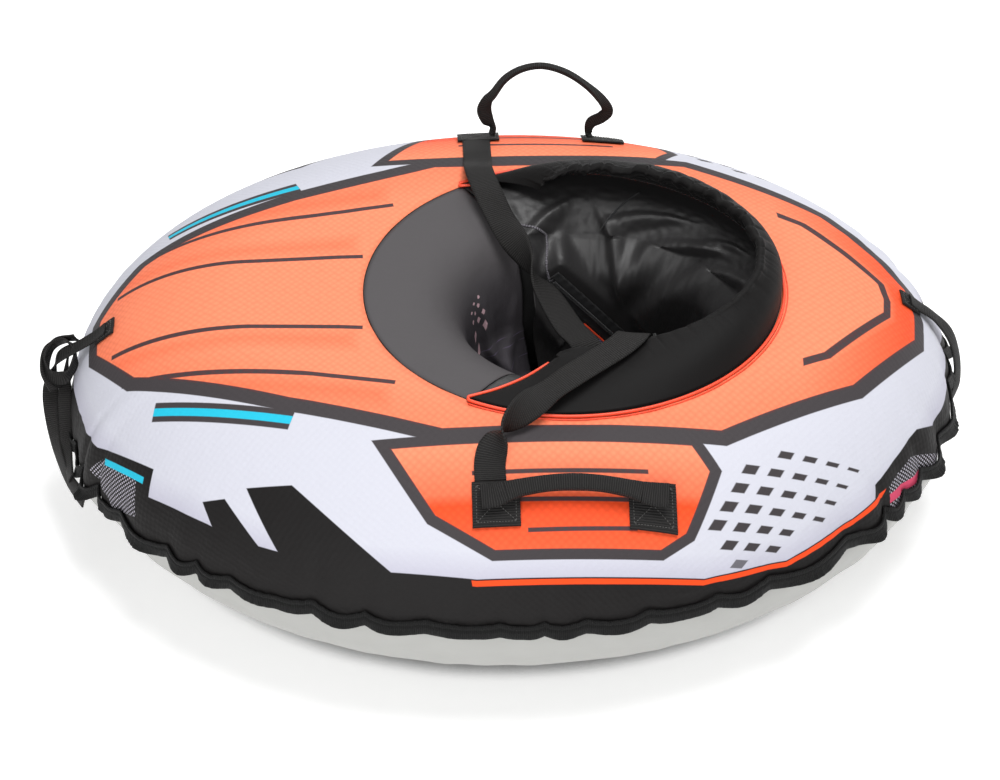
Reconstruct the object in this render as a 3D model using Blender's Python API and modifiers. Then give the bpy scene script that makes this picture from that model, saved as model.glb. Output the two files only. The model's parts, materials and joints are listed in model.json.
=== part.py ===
# Oval inflatable snow tube with a sewn fabric seat, webbing handles and a lap belt.
# Lengths are metres. +Z is up, -X is the nose, +X is the tail, -Y is the near side.
import math

import bmesh
import bpy
from mathutils import Matrix, Vector

# Inflated body
BODY_LENGTH = 1.0
BODY_WIDTH = 0.8
BODY_HEIGHT = 0.28
SHOULDER_WIDTH = 0.2
BASE_FLATTENING = 0.008
HOLE_X = 0.1
HOLE_LENGTH = 0.3
HOLE_WIDTH = 0.24
HOLE_EDGE_ROUNDNESS = 2.2
NOSE_EDGE_ROUNDNESS = 5.0

# Layers of the body
COVER_THICKNESS = 0.0012
TUBE_WALL = 0.0018
LAYER_GAP = 0.0026
TOUCH_GAP = 0.0004
LAID_GAP = 0.0009

# Hem between the top cover and the base
HEM_NOSE_DROP = 0.016
HEM_HEIGHT = 0.015
HEM_DEPTH = 0.0045
HEM_GAP = 0.0006
HEM_RIPPLE = 0.0035
HEM_RIPPLES = 36
HEM_SEAM_GAP = 0.0008

# Seat seam, an egg-shaped line on the top cover
SEAM_X = 0.06
SEAM_FRONT = 0.225
SEAM_REAR = 0.243
SEAM_SIDE = 0.215
SEAM_GAP = 0.001
DASH_EDGE_X = -0.05

# Seat bag and the printed panel in front of it
FABRIC_THICKNESS = 0.0009
LINER_SLACK = 0.014
LINER_FOLD = 0.011
LINER_FOLDS = 9
LINER_HANG_SHARE = 0.843
LINER_HANG_HEIGHT = LINER_HANG_SHARE * BODY_HEIGHT
LINER_FLOOR_HEIGHT = 0.018
LINER_FOOT_SHARE = 0.7
FOOT_TURN_SHARE = 0.5
SIDE_SEAM_SHARE = 0.008
SKIRT_FOLD = 0.006
SKIRT_FOLDS = 5

# Collar that stands round the seat
RIM_INSET_REAR = 0.02
RIM_INSET_NEAR = 0.085
RIM_INSET_FAR = 0.055
RIM_RISE_REAR = 0.045
RIM_RISE_NEAR = 0.017
RIM_RISE_FAR = 0.055
RIM_END_RISE_SHARE = 0.2
COLLAR_LIFT = 0.0032
COLLAR_BULGE = 0.009
COLLAR_END_SLANT = 0.085
CASING_DEPTH = 0.01
CASING_HEIGHT = 0.013
CASING_GATHER = 0.0028
CASING_GATHERS = 16
ELASTIC_SHARE = 0.78
ELASTIC_WIDTH = 0.007
ELASTIC_THICKNESS = 0.001
PIPING_RADIUS = 0.0017
PIPING_GAP = 0.0007

# Webbing
WEBBING_THICKNESS = 0.002
BELT_WIDTH = 0.038
FAR_HANDLE_X = 0.048
FAR_HANDLE_SPAN = 0.15
NEAR_HANDLE_X = 0.0545
NEAR_HANDLE_SPAN = 0.163
HANDLE_SIDE_SHARE = 0.3975
HANDLE_Y = HANDLE_SIDE_SHARE * BODY_WIDTH
PATCH_LENGTH = 0.05
PATCH_WIDTH = 0.044
GRIP_FOOT_RADIUS = 0.004
GRIP_FOOT_INSET = 0.012
GRIP_HALF_WIDTH = 0.0085
GRIP_HALF_DEPTH = 0.006
FAR_GRIP_HEIGHT = 0.1
NEAR_GRIP_BOW = 0.02
STRAP_WIDTH = 0.026
TAG_LENGTH = 0.021
TAG_INSET = 0.045
REAR_STRAP_Y = 0.02
BELT_X = -0.03
NEAR_LIE_SHARE = 0.343
BELT_SIDE_SHARE = 0.369
BELT_ANCHOR_Y = BELT_SIDE_SHARE * BODY_WIDTH

# Buckle
BUCKLE_WIDTH = 0.046
SOCKET_LENGTH = 0.044
SOCKET_THICKNESS = 0.0115
SOCKET_WALL = 0.002
SLOT_LENGTH = 0.0395
SLOT_HEIGHT = 0.007
LOOP_ROOM = 0.0007
BAR_LENGTH = 0.0035
BAR_THICKNESS = 0.005
BAR_MIDDLE = BAR_LENGTH / 2
PLUG_BASE_LENGTH = 0.015
PLUG_THICKNESS = 0.0065
PRONG_LENGTH = 0.026
PRONG_WIDTH = 0.0055
PRONG_THICKNESS = 0.0045
PRONG_HOOK = 0.0022
PRONG_HOOK_LENGTH = 0.008
TONGUE_WIDTH = 0.007
TONGUE_LENGTH = 0.022
WINDOW_LENGTH = 0.014

# Zip on the far wall of the seat bag
ZIP_Y = 0.094
ZIP_TOP_X = 0.052
ZIP_TOP_SHARE = 0.757
ZIP_TOP_Z = ZIP_TOP_SHARE * BODY_HEIGHT
ZIP_FOOT_X = 0.162
ZIP_FOOT_SHARE = 0.3
ZIP_FOOT_Z = ZIP_FOOT_SHARE * BODY_HEIGHT
ZIP_TAPE_WIDTH = 0.012
ZIP_TAPE_THICKNESS = 0.0008
ZIP_CHAIN_WIDTH = 0.005
ZIP_CHAIN_THICKNESS = 0.0022
SLIDER_LENGTH = 0.011
SLIDER_WIDTH = 0.0105
SLIDER_WALL = 0.0012
SLIDER_SIDE_GAP = 0.0004
PULL_LENGTH = 0.022
ZIP_SLIT = 0.0014
ZIP_PIPING_RADIUS = 0.0012
ZIP_PIPING_SHARE = 0.45
FACING_LENGTH = 0.036
FACING_WIDTH = 0.024
FACING_SHARE = 0.62
RUNNING_GAP = 0.0005

# Valve of the inner tube
VALVE_ANGLE = math.radians(78.0)
VALVE_SHARE = 0.41
VALVE_HEIGHT = VALVE_SHARE * BODY_HEIGHT
VALVE_FLANGE_RADIUS = 0.01
VALVE_SEAT_GAP = 0.0014
VALVE_FLANGE_THICKNESS = 0.0022
VALVE_HOLE_RADIUS = 0.0048
VALVE_STEM_RADIUS = 0.0042
VALVE_STEM_LENGTH = 0.017
VALVE_BORE_RADIUS = 0.0019
CAP_LENGTH = 0.009
CAP_WALL = 0.0011
PIN_RADIUS = 0.0009
PIN_LENGTH = 0.012

# Counts of faces
BODY_COLUMNS = 56
TUBE_COLUMNS = 28
TUBE_ROWS = 16
TOP_ROWS = 10
BASE_ROWS = 7
LINER_COLUMNS = 36
DASH_COLUMNS = 15
COLLAR_COLUMNS = 54

MIDDLE = BODY_HEIGHT / 2
FULL_TURN = 2 * math.pi
QUARTER = math.pi / 2


def clear_scene():
    for item in list(bpy.data.objects):
        bpy.data.objects.remove(item, do_unlink=True)


def make_collection(name):
    group = bpy.data.collections.new(name)
    bpy.context.scene.collection.children.link(group)
    return group


clear_scene()
PARTS = make_collection("snow_tube")
CUTTERS = make_collection("cutters")


def material(name, colour, roughness, metallic=0.0):
    made = bpy.data.materials.new(name)
    made.use_nodes = True
    shader = made.node_tree.nodes["Principled BSDF"]
    shader.inputs["Base Color"].default_value = (*colour, 1.0)
    shader.inputs["Roughness"].default_value = roughness
    shader.inputs["Metallic"].default_value = metallic
    return made


BLACK = (0.025, 0.024, 0.024)
ORANGE = (0.9, 0.2, 0.07)
LAVENDER = (0.6, 0.58, 0.75)
PIPING_RED = (0.85, 0.16, 0.06)
LIGHT_GREY = (0.62, 0.62, 0.6)
BRASS = (0.72, 0.5, 0.2)


def add_object(name, mesh, colour, roughness, metallic=0.0, group=PARTS):
    made = bpy.data.objects.new(name, mesh)
    made.data.materials.append(material(name, colour, roughness, metallic))
    group.objects.link(made)
    return made


def finish_mesh(name, bm):
    bmesh.ops.recalc_face_normals(bm, faces=bm.faces)
    mesh = bpy.data.meshes.new(name)
    bm.to_mesh(mesh)
    bm.free()
    mesh.shade_smooth()
    return mesh


def loft(name, rows, close_rows=False, close_columns=False, centre=None):
    # Joins rows of points into one skin; a centre point closes the last row with a fan.
    bm = bmesh.new()
    grid = [[bm.verts.new(point) for point in row] for row in rows]
    row_pairs = list(zip(grid, grid[1:]))
    if close_rows:
        row_pairs.append((grid[-1], grid[0]))
    for lower, upper in row_pairs:
        last = len(lower) if close_columns else len(lower) - 1
        for i in range(last):
            k = (i + 1) % len(lower)
            bm.faces.new((lower[i], lower[k], upper[k], upper[i]))
    if centre is not None:
        hub = bm.verts.new(centre)
        rim = grid[-1]
        for i in range(len(rim)):
            bm.faces.new((rim[i], rim[(i + 1) % len(rim)], hub))
    return finish_mesh(name, bm)


def solidify(item, thickness, offset=-1.0):
    wall = item.modifiers.new("wall", "SOLIDIFY")
    wall.thickness = thickness
    wall.offset = offset
    wall.use_even_offset = True
    return wall


def move_origin(item, place):
    # Puts the item's origin on its joint without moving its shape.
    local = item.matrix_world.inverted() @ Vector(place)
    for vert in item.data.vertices:
        vert.co -= local
    frame = item.matrix_world.copy()
    frame.translation = Vector(place)
    item.matrix_world = frame


def aim_normals(mesh, test_point_outside):
    # Turns an open skin over where its first face looks away from the given point.
    face = mesh.polygons[len(mesh.polygons) // 2]
    if face.normal.dot(Vector(test_point_outside) - face.center) < 0:
        mesh.flip_normals()


# Shape of the body

def edge_roundness(beta):
    forward = max(0.0, -math.cos(beta))
    return HOLE_EDGE_ROUNDNESS + (NOSE_EDGE_ROUNDNESS - HOLE_EDGE_ROUNDNESS) * forward ** 2


def hole_radius(beta, depth=0.0):
    half_length = HOLE_LENGTH / 2 + depth
    half_width = HOLE_WIDTH / 2 + depth
    return 1 / math.hypot(math.cos(beta) / half_length, math.sin(beta) / half_width)


def crest_point(theta):
    return Vector((
        (BODY_LENGTH / 2 - SHOULDER_WIDTH) * math.cos(theta),
        (BODY_WIDTH / 2 - SHOULDER_WIDTH) * math.sin(theta),
    ))


def crest_polar(theta):
    arm = crest_point(theta) - Vector((HOLE_X, 0))
    return math.atan2(arm.y, arm.x), arm.length


def skin_point(theta, turn, depth=0.0):
    # turn runs from -2, the hole wall reached from below, past -1, the flat base, 0, the
    # widest line, and 1, the crest, to 2, the hole wall reached from above.
    upper_half = MIDDLE - depth
    lower_half = MIDDLE + BASE_FLATTENING - depth
    half = upper_half if turn > 0 else lower_half
    if abs(turn) <= 1:
        angle = turn * QUARTER
        inset = depth + (SHOULDER_WIDTH - depth) * (1 - math.cos(angle))
        x = (BODY_LENGTH / 2 - inset) * math.cos(theta)
        y = (BODY_WIDTH / 2 - inset) * math.sin(theta)
        z = MIDDLE + half * math.sin(angle)
    else:
        angle = (abs(turn) - 1) * QUARTER
        beta, crest = crest_polar(theta)
        power = 2 / edge_roundness(beta)
        reach = max(0.0, math.sin(angle)) ** power
        drop = max(0.0, math.cos(angle)) ** power
        radius = crest + (hole_radius(beta, depth) - crest) * reach
        x = HOLE_X + radius * math.cos(beta)
        y = radius * math.sin(beta)
        z = MIDDLE + math.copysign(half * drop, turn)
    return Vector((x, y, max(z, depth)))


def seam_plan(alpha):
    reach = SEAM_REAR if math.cos(alpha) > 0 else SEAM_FRONT
    return Vector((SEAM_X + reach * math.cos(alpha), SEAM_SIDE * math.sin(alpha)))


def inside_seam(point):
    arm_x = point.x - SEAM_X
    reach = SEAM_REAR if arm_x > 0 else SEAM_FRONT
    return (arm_x / reach) ** 2 + (point.y / SEAM_SIDE) ** 2 < 1


def seam_turn(theta):
    low, high = 0.3, 2.0
    for _ in range(40):
        middle = (low + high) / 2
        if inside_seam(skin_point(theta, middle)):
            high = middle
        else:
            low = middle
    return high


def inset_of(x, y):
    low, high = -SHOULDER_WIDTH, SHOULDER_WIDTH
    for _ in range(40):
        middle = (low + high) / 2
        across = math.hypot(x / (BODY_LENGTH / 2 - middle), y / (BODY_WIDTH / 2 - middle))
        if across < 1:
            low = middle
        else:
            high = middle
    return low


def crest_radius(beta):
    half_length = BODY_LENGTH / 2 - SHOULDER_WIDTH
    half_width = BODY_WIDTH / 2 - SHOULDER_WIDTH
    a = (math.cos(beta) / half_length) ** 2 + (math.sin(beta) / half_width) ** 2
    b = HOLE_X * math.cos(beta) / half_length ** 2
    c = (HOLE_X / half_length) ** 2 - 1
    return (-b + math.sqrt(b * b - a * c)) / a


def top_height(x, y):
    # Height of the cover's outer face above the ground.
    inset = inset_of(x, y)
    arm = Vector((x - HOLE_X, y))
    beta = math.atan2(arm.y, arm.x)
    crest = crest_radius(beta)
    if inset < SHOULDER_WIDTH * 0.999 and arm.length >= crest:
        across = (SHOULDER_WIDTH - inset) / SHOULDER_WIDTH
        return MIDDLE + MIDDLE * math.sqrt(max(0.0, 1 - across ** 2))
    share = (crest - arm.length) / (crest - hole_radius(beta))
    share = max(0.0, min(1.0, share))
    power = edge_roundness(beta)
    return MIDDLE + MIDDLE * max(0.0, 1 - share ** power) ** (1 / power)


def on_top(x, y, lift=0.0):
    step = BODY_LENGTH / 2000
    slope_x = (top_height(x + step, y) - top_height(x - step, y)) / (2 * step)
    slope_y = (top_height(x, y + step) - top_height(x, y - step)) / (2 * step)
    normal = Vector((-slope_x, -slope_y, 1)).normalized()
    return Vector((x, y, top_height(x, y))) + normal * lift, normal


def hem_height(theta):
    forward = max(0.0, -math.cos(theta))
    return MIDDLE - HEM_NOSE_DROP * forward ** 3


def hem_turn(theta, shift):
    height = hem_height(theta) + shift - MIDDLE
    half = MIDDLE if height > 0 else MIDDLE + BASE_FLATTENING
    return math.asin(height / half) / QUARTER


def ring_angles(count):
    return [FULL_TURN * i / count for i in range(count)]


def theta_of_beta(beta):
    radius = crest_radius(beta)
    x = HOLE_X + radius * math.cos(beta)
    y = radius * math.sin(beta)
    return math.atan2(
        y / (BODY_WIDTH / 2 - SHOULDER_WIDTH),
        x / (BODY_LENGTH / 2 - SHOULDER_WIDTH),
    )


def dash_corner():
    share = (DASH_EDGE_X - SEAM_X) / SEAM_FRONT
    alpha = math.acos(share)
    corner = seam_plan(alpha)
    beta = math.atan2(corner.y, corner.x - HOLE_X)
    return alpha, theta_of_beta(beta)


DASH_ALPHA, DASH_THETA = dash_corner()


# Inner tube and valve

def wall_radius(beta, height, depth):
    # Distance of the tube's wall from the middle of the hole, below mid height.
    share = (MIDDLE - height) / (MIDDLE + BASE_FLATTENING - depth)
    power = edge_roundness(beta)
    reach = (1 - share ** power) ** (1 / power)
    crest = crest_radius(beta)
    return crest + (hole_radius(beta, depth) - crest) * reach


def tube_wall_point(beta, height):
    radius = wall_radius(beta, height, COVER_THICKNESS + LAYER_GAP)
    return Vector((HOLE_X + radius * math.cos(beta), radius * math.sin(beta), height))


def valve_place():
    place = tube_wall_point(VALVE_ANGLE, VALVE_HEIGHT)
    step = VALVE_FLANGE_RADIUS / 2
    turn = step / hole_radius(VALVE_ANGLE)
    along = tube_wall_point(VALVE_ANGLE + turn, VALVE_HEIGHT) - place
    up = tube_wall_point(VALVE_ANGLE, VALVE_HEIGHT + step) - place
    return place, up.cross(along).normalized()


def stand_on(item, place, axis):
    item.location = place
    item.rotation_mode = "QUATERNION"
    item.rotation_quaternion = Vector((0, 0, 1)).rotation_difference(axis)


def turned(name, profile, colour, roughness, metallic=0.0, steps=16):
    # A profile of (radius, height) points, given down the outer side and up the inner one.
    bm = bmesh.new()
    points = [bm.verts.new((radius, 0, height)) for radius, height in profile]
    for i in range(len(points) - 1):
        bm.edges.new((points[i], points[i + 1]))
    if profile[0][0] > 0 and profile[-1][0] > 0:
        bm.edges.new((points[-1], points[0]))
    mesh = bpy.data.meshes.new(name)
    bm.to_mesh(mesh)
    bm.free()
    item = add_object(name, mesh, colour, roughness, metallic)
    screw = item.modifiers.new("turn", "SCREW")
    screw.steps = steps
    screw.render_steps = steps
    screw.use_merge_vertices = True
    screw.merge_threshold = 0.00005
    return item


def build_inner_tube():
    depth = COVER_THICKNESS + LAYER_GAP
    rows = []
    for i in range(TUBE_ROWS):
        turn = -2 + 4 * i / TUBE_ROWS
        rows.append([skin_point(theta, turn, depth) for theta in ring_angles(TUBE_COLUMNS)])
    mesh = loft("inner_tube", rows, close_rows=True, close_columns=True)
    tube = add_object("inner_tube", mesh, BLACK, 0.6)
    solidify(tube, TUBE_WALL)
    place, inward = valve_place()
    bm = bmesh.new()
    reach = 4 * VALVE_FLANGE_RADIUS
    bmesh.ops.create_cone(
        bm, cap_ends=True, segments=16, radius1=VALVE_HOLE_RADIUS,
        radius2=VALVE_HOLE_RADIUS, depth=reach,
    )
    cutter = add_object("valve_hole", finish_mesh("valve_hole", bm), BLACK, 0.5, group=CUTTERS)
    stand_on(cutter, place, inward)
    cutter.hide_render = True
    cutter.display_type = "WIRE"
    cut = tube.modifiers.new("valve_hole", "BOOLEAN")
    cut.object = cutter
    cut.solver = "EXACT"


def build_valve():
    place, inward = valve_place()
    foot = VALVE_SEAT_GAP
    flange_top = foot + VALVE_FLANGE_THICKNESS
    stem_top = flange_top + VALVE_STEM_LENGTH
    shoulder = VALVE_STEM_RADIUS * 1.5
    profile = [
        (VALVE_STEM_RADIUS, stem_top),
        (VALVE_STEM_RADIUS, flange_top + VALVE_STEM_LENGTH * 0.4),
        (shoulder, flange_top),
        (VALVE_FLANGE_RADIUS, foot + TOUCH_GAP),
        (VALVE_FLANGE_RADIUS, foot),
        (VALVE_BORE_RADIUS, foot),
        (VALVE_BORE_RADIUS, stem_top),
    ]
    stem = turned("valve_stem", profile, BLACK, 0.55)
    stand_on(stem, place, inward)
    pin_foot = stem_top - PIN_LENGTH
    pin_head = PIN_RADIUS * 1.6
    pin_profile = [
        (0, stem_top - PIN_RADIUS),
        (pin_head, stem_top - PIN_RADIUS),
        (pin_head, stem_top - 2 * PIN_RADIUS),
        (PIN_RADIUS, stem_top - 2 * PIN_RADIUS),
        (PIN_RADIUS, pin_foot),
        (0, pin_foot),
    ]
    pin = turned("valve_pin", pin_profile, BRASS, 0.3, 1.0, steps=10)
    stand_on(pin, place, inward)
    cap_inner = VALVE_STEM_RADIUS + TOUCH_GAP
    cap_outer = cap_inner + CAP_WALL
    cap_top = stem_top + TOUCH_GAP + CAP_WALL
    cap_profile = [
        (0, cap_top),
        (cap_outer, cap_top),
        (cap_outer, cap_top - CAP_LENGTH),
        (cap_inner, cap_top - CAP_LENGTH),
        (cap_inner, cap_top - CAP_WALL),
        (0, cap_top - CAP_WALL),
    ]
    cap = turned("valve_cap", cap_profile, BLACK, 0.4)
    stand_on(cap, place, inward)


# Covers and hem

def build_top_cover():
    rows = []
    angles = ring_angles(BODY_COLUMNS)
    starts = [hem_turn(theta, HEM_SEAM_GAP / 2) for theta in angles]
    ends = [seam_turn(theta) for theta in angles]
    for i in range(TOP_ROWS + 1):
        share = i / TOP_ROWS
        row = []
        for theta, start, end in zip(angles, starts, ends):
            row.append(skin_point(theta, start + (end - start) * share))
        rows.append(row)
    mesh = loft("top_cover", rows, close_columns=True)
    aim_normals(mesh, (0, 0, 10 * BODY_HEIGHT))
    cover = add_object("top_cover", mesh, ORANGE, 0.5)
    solidify(cover, COVER_THICKNESS)


def build_base():
    rows = []
    angles = ring_angles(BODY_COLUMNS)
    starts = [hem_turn(theta, -HEM_SEAM_GAP / 2) for theta in angles]
    for i in range(BASE_ROWS + 1):
        share = i / BASE_ROWS
        rows.append([
            skin_point(theta, start + (-1 - start) * share)
            for theta, start in zip(angles, starts)
        ])
    half_length = BODY_LENGTH / 2 - SHOULDER_WIDTH
    half_width = BODY_WIDTH / 2 - SHOULDER_WIDTH
    middle_share = 0.5
    rows.append([
        Vector((
            half_length * middle_share * math.cos(theta),
            half_width * middle_share * math.sin(theta),
            0,
        ))
        for theta in angles
    ])
    mesh = loft("bottom_cover", rows, close_columns=True, centre=(0, 0, 0))
    aim_normals(mesh, (0, 0, -10 * BODY_HEIGHT))
    base = add_object("bottom_cover", mesh, LIGHT_GREY, 0.4)
    solidify(base, COVER_THICKNESS)


def ripple_strength(theta):
    # The binding is drawn up most at the nose and the tail.
    return 0.35 + 0.65 * abs(math.cos(theta)) ** 2


def build_hem():
    columns = HEM_RIPPLES * 4
    section = [
        (HEM_GAP, -HEM_HEIGHT / 2),
        (HEM_GAP + HEM_DEPTH * 0.75, -HEM_HEIGHT / 2),
        (HEM_GAP + HEM_DEPTH, 0),
        (HEM_GAP + HEM_DEPTH * 0.6, HEM_HEIGHT / 2),
        (HEM_GAP, HEM_HEIGHT / 2),
    ]
    rows = []
    for out, up in section:
        row = []
        for theta in ring_angles(columns):
            wave = math.sin(HEM_RIPPLES * theta) * ripple_strength(theta)
            z = hem_height(theta) + up + HEM_RIPPLE * wave * 0.5
            push = out
            if out > HEM_GAP:
                push += HEM_RIPPLE * 0.5 * (1 + wave)
            half = MIDDLE if z > MIDDLE else MIDDLE + BASE_FLATTENING
            across = math.sqrt(max(0.0, 1 - ((z - MIDDLE) / half) ** 2))
            inset = SHOULDER_WIDTH * (1 - across) - push
            if out == HEM_GAP:
                inset = -push
            x = (BODY_LENGTH / 2 - inset) * math.cos(theta)
            y = (BODY_WIDTH / 2 - inset) * math.sin(theta)
            row.append(Vector((x, y, z)))
        rows.append(row)
    mesh = loft("hem_binding", rows, close_rows=True, close_columns=True)
    add_object("hem_binding", mesh, BLACK, 0.8)


# Seat bag, front panel and collar

def foot_radius(beta):
    return (hole_radius(beta) - LINER_SLACK) * LINER_FOOT_SHARE


def wall_point(beta, height, top, fold, swell):
    # The bag's wall hangs from its top line and draws in towards the floor.
    share = (top - height) / (top - LINER_FLOOR_HEIGHT)
    drawn_in = max(0.0, share - FOOT_TURN_SHARE) / (1 - FOOT_TURN_SHARE)
    outer = hole_radius(beta) - LINER_SLACK - swell * (1 + fold) / 2
    radius = outer + (foot_radius(beta) - outer) * drawn_in
    return Vector((HOLE_X + radius * math.cos(beta), radius * math.sin(beta), height))


def zip_zone(point):
    reach = ZIP_TAPE_WIDTH * 2.5
    inside_x = ZIP_TOP_X - reach < point.x < ZIP_FOOT_X + reach
    lowest = LINER_FLOOR_HEIGHT + ZIP_TAPE_WIDTH
    return inside_x and point.y > 0 and lowest < point.z < ZIP_TOP_Z + reach / 2


def build_liner():
    top_rows = 4
    wall_rows = 7
    limit = DASH_THETA - SIDE_SEAM_SHARE
    angles = [-limit + 2 * limit * i / (LINER_COLUMNS - 1) for i in range(LINER_COLUMNS)]
    rows = [[] for _ in range(top_rows + wall_rows)]
    zip_wall = ZIP_Y + ZIP_TAPE_THICKNESS / 2 + FABRIC_THICKNESS / 2 + TOUCH_GAP
    for theta in angles:
        beta, _ = crest_polar(theta)
        fold = math.cos(LINER_FOLDS * beta)
        start = seam_turn(theta) + SEAM_GAP / SHOULDER_WIDTH
        for i in range(top_rows):
            rows[i].append(skin_point(theta, start + (1.5 - start) * i / top_rows))
        for i in range(wall_rows):
            share = i / (wall_rows - 1)
            height = LINER_HANG_HEIGHT + (LINER_FLOOR_HEIGHT - LINER_HANG_HEIGHT) * share
            swell = LINER_FOLD * math.sin(math.pi * share)
            point = wall_point(beta, height, LINER_HANG_HEIGHT, fold, swell)
            if zip_zone(point):
                point.y = zip_wall
            rows[top_rows + i].append(point)
    mesh = loft("seat_liner", rows)
    liner = add_object("seat_liner", mesh, BLACK, 0.75)
    solidify(liner, FABRIC_THICKNESS, 0.0)
    top, foot = zip_frame()
    half = SLIDER_WIDTH / 2 + RUNNING_GAP
    slot = zip_box(
        "zip_opening", (0, (foot - top).length), (-half, half),
        (-3 * SLIDER_LENGTH, 0), BLACK, 0.8, group=CUTTERS,
    )
    join_or_cut(liner, slot, "DIFFERENCE")


def build_floor():
    angles = ring_angles(LINER_COLUMNS)
    height = LINER_FLOOR_HEIGHT + FABRIC_THICKNESS
    rows = []
    for share in (1.0, 0.6):
        row = []
        for beta in angles:
            radius = (foot_radius(beta) - FABRIC_THICKNESS / 2 - 2 * TOUCH_GAP) * share
            row.append(Vector((
                HOLE_X + radius * math.cos(beta), radius * math.sin(beta), height,
            )))
        rows.append(row)
    mesh = loft("seat_floor", rows, close_columns=True, centre=(HOLE_X, 0, height))
    floor = add_object("seat_floor", mesh, BLACK, 0.8)
    solidify(floor, FABRIC_THICKNESS, 0.0)


def build_dash():
    top_rows = 7
    skirt_rows = 5
    first = DASH_THETA + SIDE_SEAM_SHARE
    last = FULL_TURN - first
    angles = [first + (last - first) * i / (DASH_COLUMNS - 1) for i in range(DASH_COLUMNS)]
    rows = [[] for _ in range(top_rows + skirt_rows + 1)]
    for theta in angles:
        beta, _ = crest_polar(theta)
        start = seam_turn(theta) + SEAM_GAP / 2 / SHOULDER_WIDTH
        for i in range(top_rows + 1):
            rows[i].append(skin_point(theta, start + (2 - start) * i / top_rows))
        fold = math.cos(SKIRT_FOLDS * 2 * beta)
        for i in range(1, skirt_rows + 1):
            share = i / skirt_rows
            height = MIDDLE + (LINER_FLOOR_HEIGHT - MIDDLE) * share
            point = wall_point(beta, height, MIDDLE, fold, SKIRT_FOLD * share)
            slack = LINER_SLACK * (1 - min(1.0, 2 * share))
            point.x += slack * math.cos(beta)
            point.y += slack * math.sin(beta)
            rows[top_rows + i].append(point)
    mesh = loft("dash_panel", rows)
    aim_normals(mesh, (HOLE_X, 0, 10 * BODY_HEIGHT))
    dash = add_object("dash_panel", mesh, (0.06, 0.058, 0.06), 0.6)
    solidify(dash, FABRIC_THICKNESS)


def rim_sizes(alpha):
    side = math.sin(alpha) ** 2
    inset_side = RIM_INSET_FAR if math.sin(alpha) > 0 else RIM_INSET_NEAR
    rise_side = RIM_RISE_FAR if math.sin(alpha) > 0 else RIM_RISE_NEAR
    inset = RIM_INSET_REAR + (inset_side - RIM_INSET_REAR) * side
    rise = RIM_RISE_REAR + (rise_side - RIM_RISE_REAR) * side
    return inset, rise


def seam_outward(alpha):
    step = 0.01
    along = seam_plan(alpha + step) - seam_plan(alpha - step)
    return Vector((along.y, -along.x)).normalized()


def collar_frame(share):
    # share runs from -1 at the near front end to 1 at the far front end.
    alpha = share * DASH_ALPHA
    foot_plan = seam_plan(alpha) - seam_outward(alpha) * SEAM_GAP
    foot, _ = on_top(foot_plan.x, foot_plan.y, COLLAR_LIFT)
    slant = COLLAR_END_SLANT / SEAM_SIDE
    rim_alpha = share * (DASH_ALPHA - slant * abs(share) ** 3)
    inset, rise = rim_sizes(rim_alpha)
    rise *= 1 - (1 - RIM_END_RISE_SHARE) * abs(share) ** 6
    rim_plan = seam_plan(rim_alpha) - seam_outward(rim_alpha) * inset
    rim = Vector((rim_plan.x, rim_plan.y, BODY_HEIGHT + COLLAR_LIFT + rise))
    up = (rim - foot).normalized()
    outward = seam_outward(rim_alpha).to_3d()
    out = (outward - up * outward.dot(up)).normalized()
    return foot, rim, up, out


def gather(share):
    return math.sin(CASING_GATHERS * math.pi * share)


def build_collar():
    band_rows = 4
    shares = [-1 + 2 * i / COLLAR_COLUMNS for i in range(COLLAR_COLUMNS + 1)]
    rows = [[] for _ in range(band_rows + 4)]
    strip = [[] for _ in range(4)]
    for share in shares:
        foot, rim, up, out = collar_frame(share)
        wave = gather(share) * CASING_GATHER
        for i in range(band_rows + 1):
            part = i / band_rows
            bulge = COLLAR_BULGE * math.sin(math.pi * part)
            point = foot.lerp(rim, part) + out * (bulge + wave * part ** 3)
            rows[i].append(point)
        top = rim + out * wave
        rows[band_rows + 1].append(top + up * CASING_DEPTH / 2 - out * CASING_DEPTH / 2)
        rows[band_rows + 2].append(top - out * CASING_DEPTH)
        rows[band_rows + 3].append(top - out * CASING_DEPTH - up * CASING_HEIGHT)
        strip_top = top - out * CASING_DEPTH / 2
        strip_foot = strip_top - up * ELASTIC_WIDTH
        half = out * ELASTIC_THICKNESS / 2
        corners = (strip_top + half, strip_top - half, strip_foot - half, strip_foot + half)
        if abs(share) < ELASTIC_SHARE:
            for line, corner in zip(strip, corners):
                line.append(corner)
    mesh = loft("seat_collar", rows)
    collar = add_object("seat_collar", mesh, BLACK, 0.7)
    solidify(collar, FABRIC_THICKNESS, 0.0)
    capped_loft("collar_elastic", strip, BLACK, 0.8)


def capped_loft(name, lines, colour, roughness, metallic=0.0):
    # Closes a bundle of lines into a bar with flat ends.
    bm = bmesh.new()
    grid = [[bm.verts.new(point) for point in line] for line in lines]
    count = len(grid)
    for i in range(count):
        a = grid[i]
        b = grid[(i + 1) % count]
        for k in range(len(a) - 1):
            bm.faces.new((a[k], a[k + 1], b[k + 1], b[k]))
    bm.faces.new([line[0] for line in grid])
    bm.faces.new([line[-1] for line in grid])
    return add_object(name, finish_mesh(name, bm), colour, roughness, metallic)


def tube_along(name, points, radius, colour, roughness, resolution=1):
    curve = bpy.data.curves.new(name, "CURVE")
    curve.dimensions = "3D"
    curve.bevel_depth = radius
    curve.bevel_resolution = resolution
    curve.use_fill_caps = True
    line = curve.splines.new("POLY")
    line.points.add(len(points) - 1)
    for slot, point in zip(line.points, points):
        slot.co = (*point, 1)
    item = bpy.data.objects.new(name, curve)
    item.data.materials.append(material(name, colour, roughness))
    PARTS.objects.link(item)
    return item


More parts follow.
